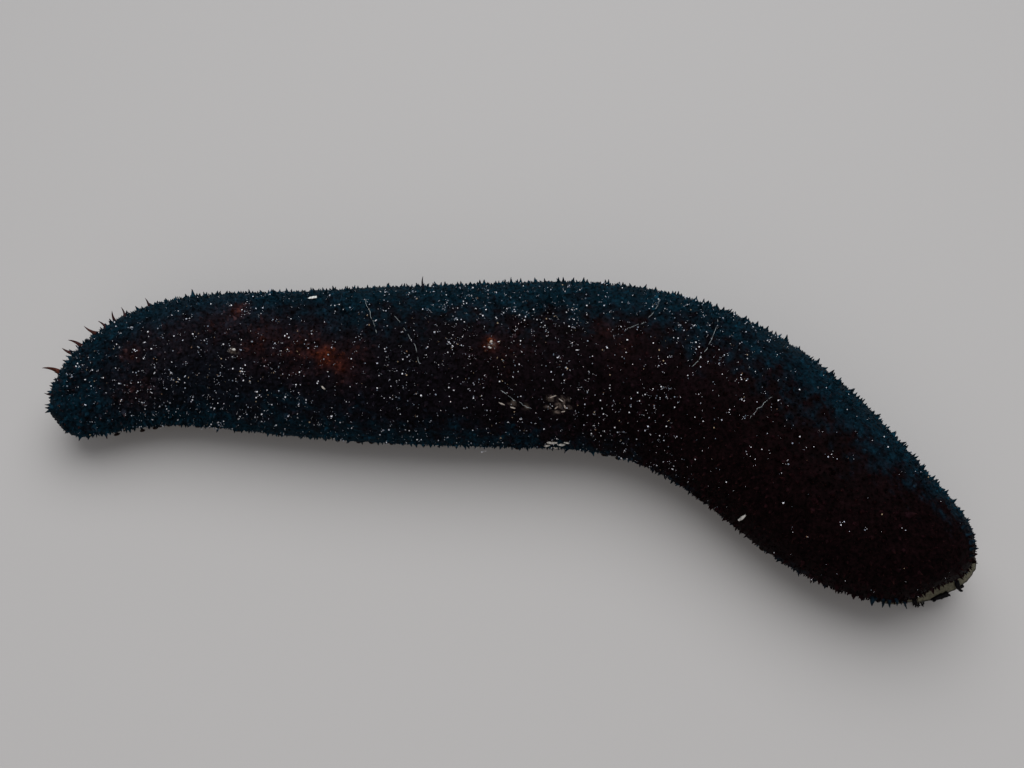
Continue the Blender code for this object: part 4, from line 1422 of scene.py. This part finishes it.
# Bits of shell on the skin: place by pixel, size in mm (long, wide, thick), turn in degrees and shade.
shellBits = {
    "bits": [
        (314, 299, 3.2, 1.0, 0.35, 4.0, 0.05), (552, 441, 3.2, 1.3, 0.5, 8.0, 0.45),
        (561, 443, 2.4, 1.2, 0.5, -20.0, 0.35), (547, 444, 2.0, 0.9, 0.4, 30.0, 0.5),
        (567, 441, 1.6, 0.8, 0.4, 12.0, 0.4), (557, 446, 2.2, 0.8, 0.4, 5.0, 0.55),
        (743, 517, 4.4, 0.8, 0.6, 66.0, 0.35), (553, 396, 1.8, 0.3, 0.25, 20.0, 0.75),
        (561, 400, 1.5, 0.3, 0.25, -35.0, 0.7), (565, 406, 1.2, 0.35, 0.25, -70.0, 0.75),
        (556, 407, 1.0, 0.4, 0.25, 40.0, 0.85), (563, 411, 1.1, 0.3, 0.25, 10.0, 0.75),
        (491, 342, 1.0, 0.8, 0.5, 50.0, 0.7), (490, 348, 0.9, 0.7, 0.4, -30.0, 0.5),
        (234, 350, 1.1, 0.7, 0.4, 0.0, 0.45), (502, 403, 1.8, 0.4, 0.3, -20.0, 0.7),
        (513, 407, 1.4, 0.4, 0.3, -15.0, 0.7), (324, 387, 1.5, 0.5, 0.3, -40.0, 0.6),
    ],
    "lift": 0.0006,
    "curve": 0.5,
    "lumps": (0.34, 3.2),
    "fineLumps": (0.16, 9.0),
}


def makeShellBits(material, surface):
    parts = []
    depth, size = shellBits["lumps"]
    fineDepth, fineSize = shellBits["fineLumps"]
    for number, (x, y, long, wide, thick, turn, shade) in enumerate(shellBits["bits"]):
        place, normal = onSkin(x, y, surface, shellBits["lift"])
        east = Vector((1.0, 0.0, 0.0)).cross(normal).cross(normal).normalized() * -1.0
        first = Matrix.Rotation(math.radians(turn), 3, normal) @ east
        second = normal.cross(first)
        bm = bmesh.new()
        bmesh.ops.create_icosphere(bm, subdivisions=3, radius=0.5)
        corners = []
        for corner in bm.verts:
            lump = depth * noise.noise(corner.co * size + Vector((number, 0, 0)))
            spot = corner.co * (1.0 + lump + fineDepth * noise.noise(corner.co * fineSize))
            rise = spot.z * thick - shellBits["curve"] * (spot.x ** 2) * thick
            away = first * spot.x * long + second * spot.y * wide + normal * rise
            corners.append(np.array(place + away * 0.001))
        faces = [tuple(v.index for v in face.verts) for face in bm.faces]
        bm.free()
        parts.append((np.array(corners), faces, {"shade": shade}))
    return makePiece("shellBits", parts, material)


# Lip: a thin wavy fold under the front rim. Its edge is given by pixel and height in mm where it shows, and
# goes on round the front end by share, angle in degrees and reach in mm. It grows from the skin.
lip = {
    "edge": [
        (971, 551, 12.8), (975, 556, 12.4), (977, 563, 11.6), (975, 571, 11.0), (970, 578, 10.4),
        (964, 584, 9.8), (957, 589, 9.2), (949, 593, 8.6), (940, 597, 8.0), (931, 600, 7.4), (922, 602, 6.9),
        (914, 602, 6.5),
    ],
    "farEdge": [(0.962, -35.0, 0.9), (0.972, -37.0, 1.2), (0.981, -40.0, 1.6), (0.989, -44.0, 2.0),
                (0.995, -50.0, 2.2)],
    "nearEdge": [(0.950, 222.0, 1.8), (0.938, 222.0, 1.3), (0.926, 222.0, 0.9)],
    "samples": 190,
    "steps": 12,
    "smoothing": 8,
    "sunk": 0.0011,
    "taper": 8.0,
    "endReach": 0.25,
    "rootThickness": 0.00050,
    "edgeThickness": 0.00016,
    "droop": 0.0004,
    "ripple": 0.00030,
    "rippleLength": 0.0029,
    "fineRipple": 2.7,
    "scallop": 0.00045,
    "fineScallop": 0.6,
}


def lipOutside(share, degrees, reach):
    angle = math.radians(degrees)
    return bodyPoint(share, angle) + bodyNormal(share, angle) * reach * 0.001


def makeLip(material, surface):
    spots = [lipOutside(*spot) for spot in lip["farEdge"]]
    for x, y, height in lip["edge"]:
        ray = np.array(pixelRay(x, y))
        spots.append(np.array(viewPlace) + ray * ((height * 0.001 - viewPlace.z) / ray[2]))
    spots = np.array(spots + [lipOutside(*spot) for spot in lip["nearEdge"]])
    samples, steps, room = lip["samples"], lip["steps"], lip["smoothing"]
    travelled = distanceAlong(spots)
    share = np.linspace(0.0, 1.0, samples)
    outer = np.stack([np.interp(share * travelled[-1], travelled, spots[:, i]) for i in range(3)], 1)
    kernel = np.hanning(2 * room + 1)
    padded = np.pad(outer, ((room, room), (0, 0)), mode="edge")
    outer = np.stack([np.convolve(padded[:, i], kernel / kernel.sum(), mode="valid") for i in range(3)], 1)
    run = distanceAlong(outer)
    upper, lower, rim = [], [], []
    for i, point in enumerate(outer):
        near, normal = surface.find_nearest(Vector(point))[:2]
        root = np.array(near - normal * lip["sunk"])
        wave = noise.noise(Vector((run[i] / lip["rippleLength"], 3.0, 0.0)))
        fine = noise.noise(Vector((run[i] / lip["rippleLength"] * lip["fineRipple"], 8.0, 0.0)))
        taper = min(1.0, lip["taper"] * share[i], lip["taper"] * (1.0 - share[i]))
        span = (point - root) * (lip["endReach"] + (1.0 - lip["endReach"]) * taper)
        tip = root + span + unit(span) * lip["scallop"] * (wave + lip["fineScallop"] * fine)
        for t in np.arange(steps) / (steps - 1):
            place = root + (tip - root) * t
            place[2] += lip["droop"] * 4.0 * t * (1.0 - t) + lip["ripple"] * t * (wave + fine)
            half = 0.5 * (lip["rootThickness"] + (lip["edgeThickness"] - lip["rootThickness"]) * t)
            upper.append(place + upward * half)
            lower.append(place - upward * half)
            rim.append(t)
    down = samples * steps
    faces = []
    for i in range(samples - 1):
        for k in range(steps - 1):
            a, b = i * steps + k, (i + 1) * steps + k
            faces.append((a, b, b + 1, a + 1))
            faces.append((down + a, down + a + 1, down + b + 1, down + b))
        for k in (0, steps - 1):
            a, b = i * steps + k, (i + 1) * steps + k
            faces.append((a, down + a, down + b, b))
    for i in (0, samples - 1):
        for k in range(steps - 1):
            a = i * steps + k
            faces.append((a, a + 1, down + a + 1, down + a))
    return makePiece("lip", [(np.array(upper + lower), faces, {"rim": np.array(rim * 2)})], material)


# Tips of tentacles that lie out over the lip: each by the pixels of its two ends, then its width in mm.
tentacleTip = {
    "tips": [
        (957, 582, 960, 591, 1.3), (963, 586, 957, 588, 0.9), (958, 590, 963, 591, 0.8),
        (948, 593, 931, 600, 1.5), (935, 598, 933, 602, 0.9), (941, 596, 942, 600, 0.8),
        (946, 593, 950, 596, 0.8), (914, 599, 917, 605, 1.2),
    ],
    "lift": 0.0004,
    "lowest": 0.0034,
    "radius": 0.0005,
    "guessHeight": 0.008,
    "waviness": 0.0003,
    "waves": 2.0,
    "knobDepth": 0.25,
    "knobs": 6.0,
    "thinning": 0.75,
    "rings": 9,
    "sides": 9,
}


def makeTentacleTips(material, lipPiece):
    sheet = BVHTree.FromPolygons([v.co for v in lipPiece.data.vertices],
                                 [tuple(f.vertices) for f in lipPiece.data.polygons])
    parts = []
    rise = np.linspace(0.0, 1.0, tentacleTip["rings"])
    for number, (x, y, tipX, tipY, width) in enumerate(tentacleTip["tips"]):
        ends = []
        for ray in (pixelRay(x, y), pixelRay(tipX, tipY)):
            guess = rayAtHeight(ray, tentacleTip["guessHeight"])
            hit = sheet.ray_cast(viewPlace, ray)[0] or sheet.find_nearest(guess)[0]
            ends.append(np.array(rayAtHeight(ray, max(tentacleTip["lowest"], hit.z + tentacleTip["lift"]))))
        line = ends[0] + (ends[1] - ends[0]) * rise[:, None]
        waves = [noise.noise_vector(Vector((tentacleTip["waves"] * t, number, 0.0))) for t in rise]
        knobs = np.array([noise.noise(Vector((tentacleTip["knobs"] * t, number, 4.0))) for t in rise])
        thickness = (1.0 + tentacleTip["knobDepth"] * knobs) * (1.0 - tentacleTip["thinning"] * rise ** 4)
        points, faces = tube(line + np.array(waves) * tentacleTip["waviness"],
                             tentacleTip["radius"] * width * thickness, tentacleTip["sides"])
        parts.append((points, faces, {"dark": 1.0, "ripe": 1.0}))
    return makePiece("tentacleTips", parts, material)


# Soft parts full of sea water: a low relative IOR, so no hard shine. Each is a base colour, then colours
# laid over it where an attribute goes from low to high, and a grain in metres that dents and shades it.
# Tube feet are dark stalks with paler suckers. The vent has dark teal folds, the teal a painted sheen like
# that of the rear end's skin, redder inside. Tentacles are olive grey with black fingers. The lip is a pale
# olive membrane with a darker line along its edge.
fleshIor = 1.12
fleshLooks = {
    "tubeFootFlesh": {"base": "#0d090b", "layers": [("#2b221e", "along", 0.70, 0.97)], "grain": 0.0004,
                      "bump": (0.4, 0.0001), "tones": (0.65, 1.35), "roughness": 0.45},
    # The vent's teal base is the painted teal sheen of the rear end; its redder middle is its own colour.
    "ventFlesh": {"base": "#06131a", "layers": [("#1c0c0e", "deep")], "grain": 0.0005,
                  "bump": (0.4, 0.00015), "tones": (1.0, 1.0), "roughness": 0.5},
    "tentacleFlesh": {"base": "#5a5a45", "layers": [("#45402f", "ripe"), ("#0c0b0d", "dark", 0.25, 0.62)],
                      "grain": 0.0006, "bump": (0.35, 0.00012), "tones": (0.75, 1.25), "roughness": 0.42},
    "lipSkin": {"base": "#25241e", "layers": [("#5b584a", "rim", 0.25, 0.6), ("#2c2a25", "rim", 0.90, 1.0)],
                "grain": 0.0006, "bump": (0.4, 0.00015), "tones": (0.6, 1.3), "roughness": 0.5},
}


def makeFlesh(name):
    look = fleshLooks[name]
    material = newMaterial(name)
    tree = material.node_tree
    place = addNode(tree, "ShaderNodeTexCoord").outputs["Object"]
    relief = addNode(tree, "ShaderNodeTexNoise",
                     {"Vector": place, "Scale": 1.0 / look["grain"], "Detail": 3.0})
    strength, distance = look["bump"]
    bump = addNode(tree, "ShaderNodeBump",
                   {"Height": relief.outputs["Fac"], "Strength": strength, "Distance": distance})
    colour = hexColour(look["base"])
    for layer in look["layers"]:
        colour = addLayer(tree, colour, *layer)
    colour = addTone(tree, colour, relief.outputs["Fac"], (0.3, 0.7), look["tones"])
    return finishMaterial(material, {"Base Color": colour, "Normal": bump.outputs[0],
                                     "Roughness": look["roughness"], "IOR": fleshIor})


# Grains: shell sand with some quartz and a few brown ones, dull to slightly glassy. The white of shell sand
# is their own; the faint blue tint of the whitest is a painted highlight tint. Each colour starts at a share
# of the grains.
grainLook = {
    "stops": [(0.0, "#f6f7ff"), (0.42, "#d0d5e4"), (0.64, "#8f9aaa"), (0.82, "#5f6c7a"), (0.92, "#b09a7c"),
              (0.97, "#7c5f48")],
    "roughness": 0.4,
    "specular": 0.3,
}


def makeGrainMaterial():
    material = newMaterial("shellSand")
    tree = material.node_tree
    shade = addNode(tree, "ShaderNodeAttribute", attribute_name="shade").outputs["Fac"]
    ramp = addNode(tree, "ShaderNodeValToRGB", {"Fac": shade})
    ramp.color_ramp.interpolation = "CONSTANT"
    stops = grainLook["stops"]
    while len(ramp.color_ramp.elements) < len(stops):
        ramp.color_ramp.elements.new(0.5)
    for element, (position, colour) in zip(ramp.color_ramp.elements, stops):
        element.position = position
        element.color = hexColour(colour)
    return finishMaterial(material, {"Base Color": ramp.outputs["Color"], "Roughness": grainLook["roughness"],
                                     "Specular IOR Level": grainLook["specular"]})


# Threads: dried slime and fibre, whitish and dull, patchy every millimetre or so.
threadLook = {"pale": "#b9c2c4", "dull": "#6d7678", "patches": 900.0, "roughness": 0.7}


def makeThreadMaterial():
    material = newMaterial("driedThread")
    tree = material.node_tree
    place = addNode(tree, "ShaderNodeTexCoord").outputs["Object"]
    patchy = addNode(tree, "ShaderNodeTexNoise",
                     {"Vector": place, "Scale": threadLook["patches"], "Detail": 2.0})
    colour = addNode(tree, "ShaderNodeMix", {0: patchy.outputs["Fac"], 6: hexColour(threadLook["pale"]),
                                             7: hexColour(threadLook["dull"])}, data_type="RGBA")
    return finishMaterial(material, {"Base Color": colour.outputs[2], "Roughness": threadLook["roughness"]})


# Bits of shell: chalky, off-white to beige, with growth lines about half a millimetre apart.
shellLook = {"chalk": "#dfe2df", "beige": "#8a7464", "lines": 320.0, "tones": (0.72, 1.05),
             "bump": (0.3, 0.0001), "roughness": 0.6, "specular": 0.3}


def makeShellMaterial():
    material = newMaterial("chalkyShell")
    tree = material.node_tree
    place = addNode(tree, "ShaderNodeTexCoord").outputs["Object"]
    wave = addNode(tree, "ShaderNodeTexWave",
                   {"Vector": place, "Scale": shellLook["lines"], "Distortion": 3.0, "Detail": 2.0})
    lines = wave.outputs["Fac"]
    colour = addLayer(tree, hexColour(shellLook["chalk"]), shellLook["beige"], "shade")
    colour = addTone(tree, colour, lines, (0.0, 1.0), shellLook["tones"])
    strength, distance = shellLook["bump"]
    bump = addNode(tree, "ShaderNodeBump", {"Height": lines, "Strength": strength, "Distance": distance})
    return finishMaterial(material, {
        "Base Color": colour, "Normal": bump.outputs[0], "Roughness": shellLook["roughness"],
        "Specular IOR Level": shellLook["specular"]})


makeStage()
makeCamera()
roots = papillaRoots(papilla)
print("stage: papilla roots", len(roots[0]))
skinPiece, skinPoints, skinShares, skinAngles = makeSkin(bodyPoint(*roots))
surface = BVHTree.FromPolygons([Vector(p) for p in skinPoints],
                               [tuple(f.vertices) for f in skinPiece.data.polygons])
setAttributes(skinPiece.data, markAt(skinPoints, skinShares, skinAngles, surface))
skinPiece.data.materials.append(makeSkinMaterial("wetSkin", False))
print("stage: skin", len(skinPiece.data.polygons), "faces")
scatter = makeScatterTree()
coatMaterial = makeSkinMaterial("wetPapilla", True)
coat, papillae = makePapillae("Coat", scatter, roots, papilla, surface, coatMaterial)
coat += makePapillae("FineCoat", scatter, papillaRoots(finePapilla), finePapilla, surface, coatMaterial)[0]
coat.append(makeLongPapillae(coatMaterial, surface))
print("stage: papillae", [len(c.data.polygons) for c in coat])
feet = makeTubeFeet(scatter, makeFlesh("tubeFootFlesh"))
print("stage: tube feet", len(feet.data.polygons), "faces")
ventPiece = makeVent(makeFlesh("ventFlesh"))
tentacleMaterial = makeFlesh("tentacleFlesh")
mouthPiece = makeMouth(tentacleMaterial)
lipPiece = makeLip(makeFlesh("lipSkin"), surface)
tipsPiece = makeTentacleTips(tentacleMaterial, lipPiece)
print("stage: vent, mouth and lip")
grains = makeGrains(scatter, makeGrainMaterial(), surface, papillae)
threads = makeThreads(makeThreadMaterial(), surface)
shell = makeShellBits(makeShellMaterial(), surface)
print("stage: grains, threads and bits of shell", len(grains.data.polygons), "faces")

slots = {
    "back_skin": [skinPiece, *coat, grains, threads, shell],
    "sole_skin": [feet],
    "tentacles": [mouthPiece, tipsPiece, lipPiece],
    "vent_skin": [ventPiece],
}
for slot, pieces in slots.items():
    for piece in pieces:
        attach(piece, "root")
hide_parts("oral_end", "front_trunk", "middle_trunk", "rear_trunk", "anal_end",
            "oral_sole", "front_sole", "middle_sole", "rear_sole", "anal_sole")
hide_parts("mouth")
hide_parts("vent")
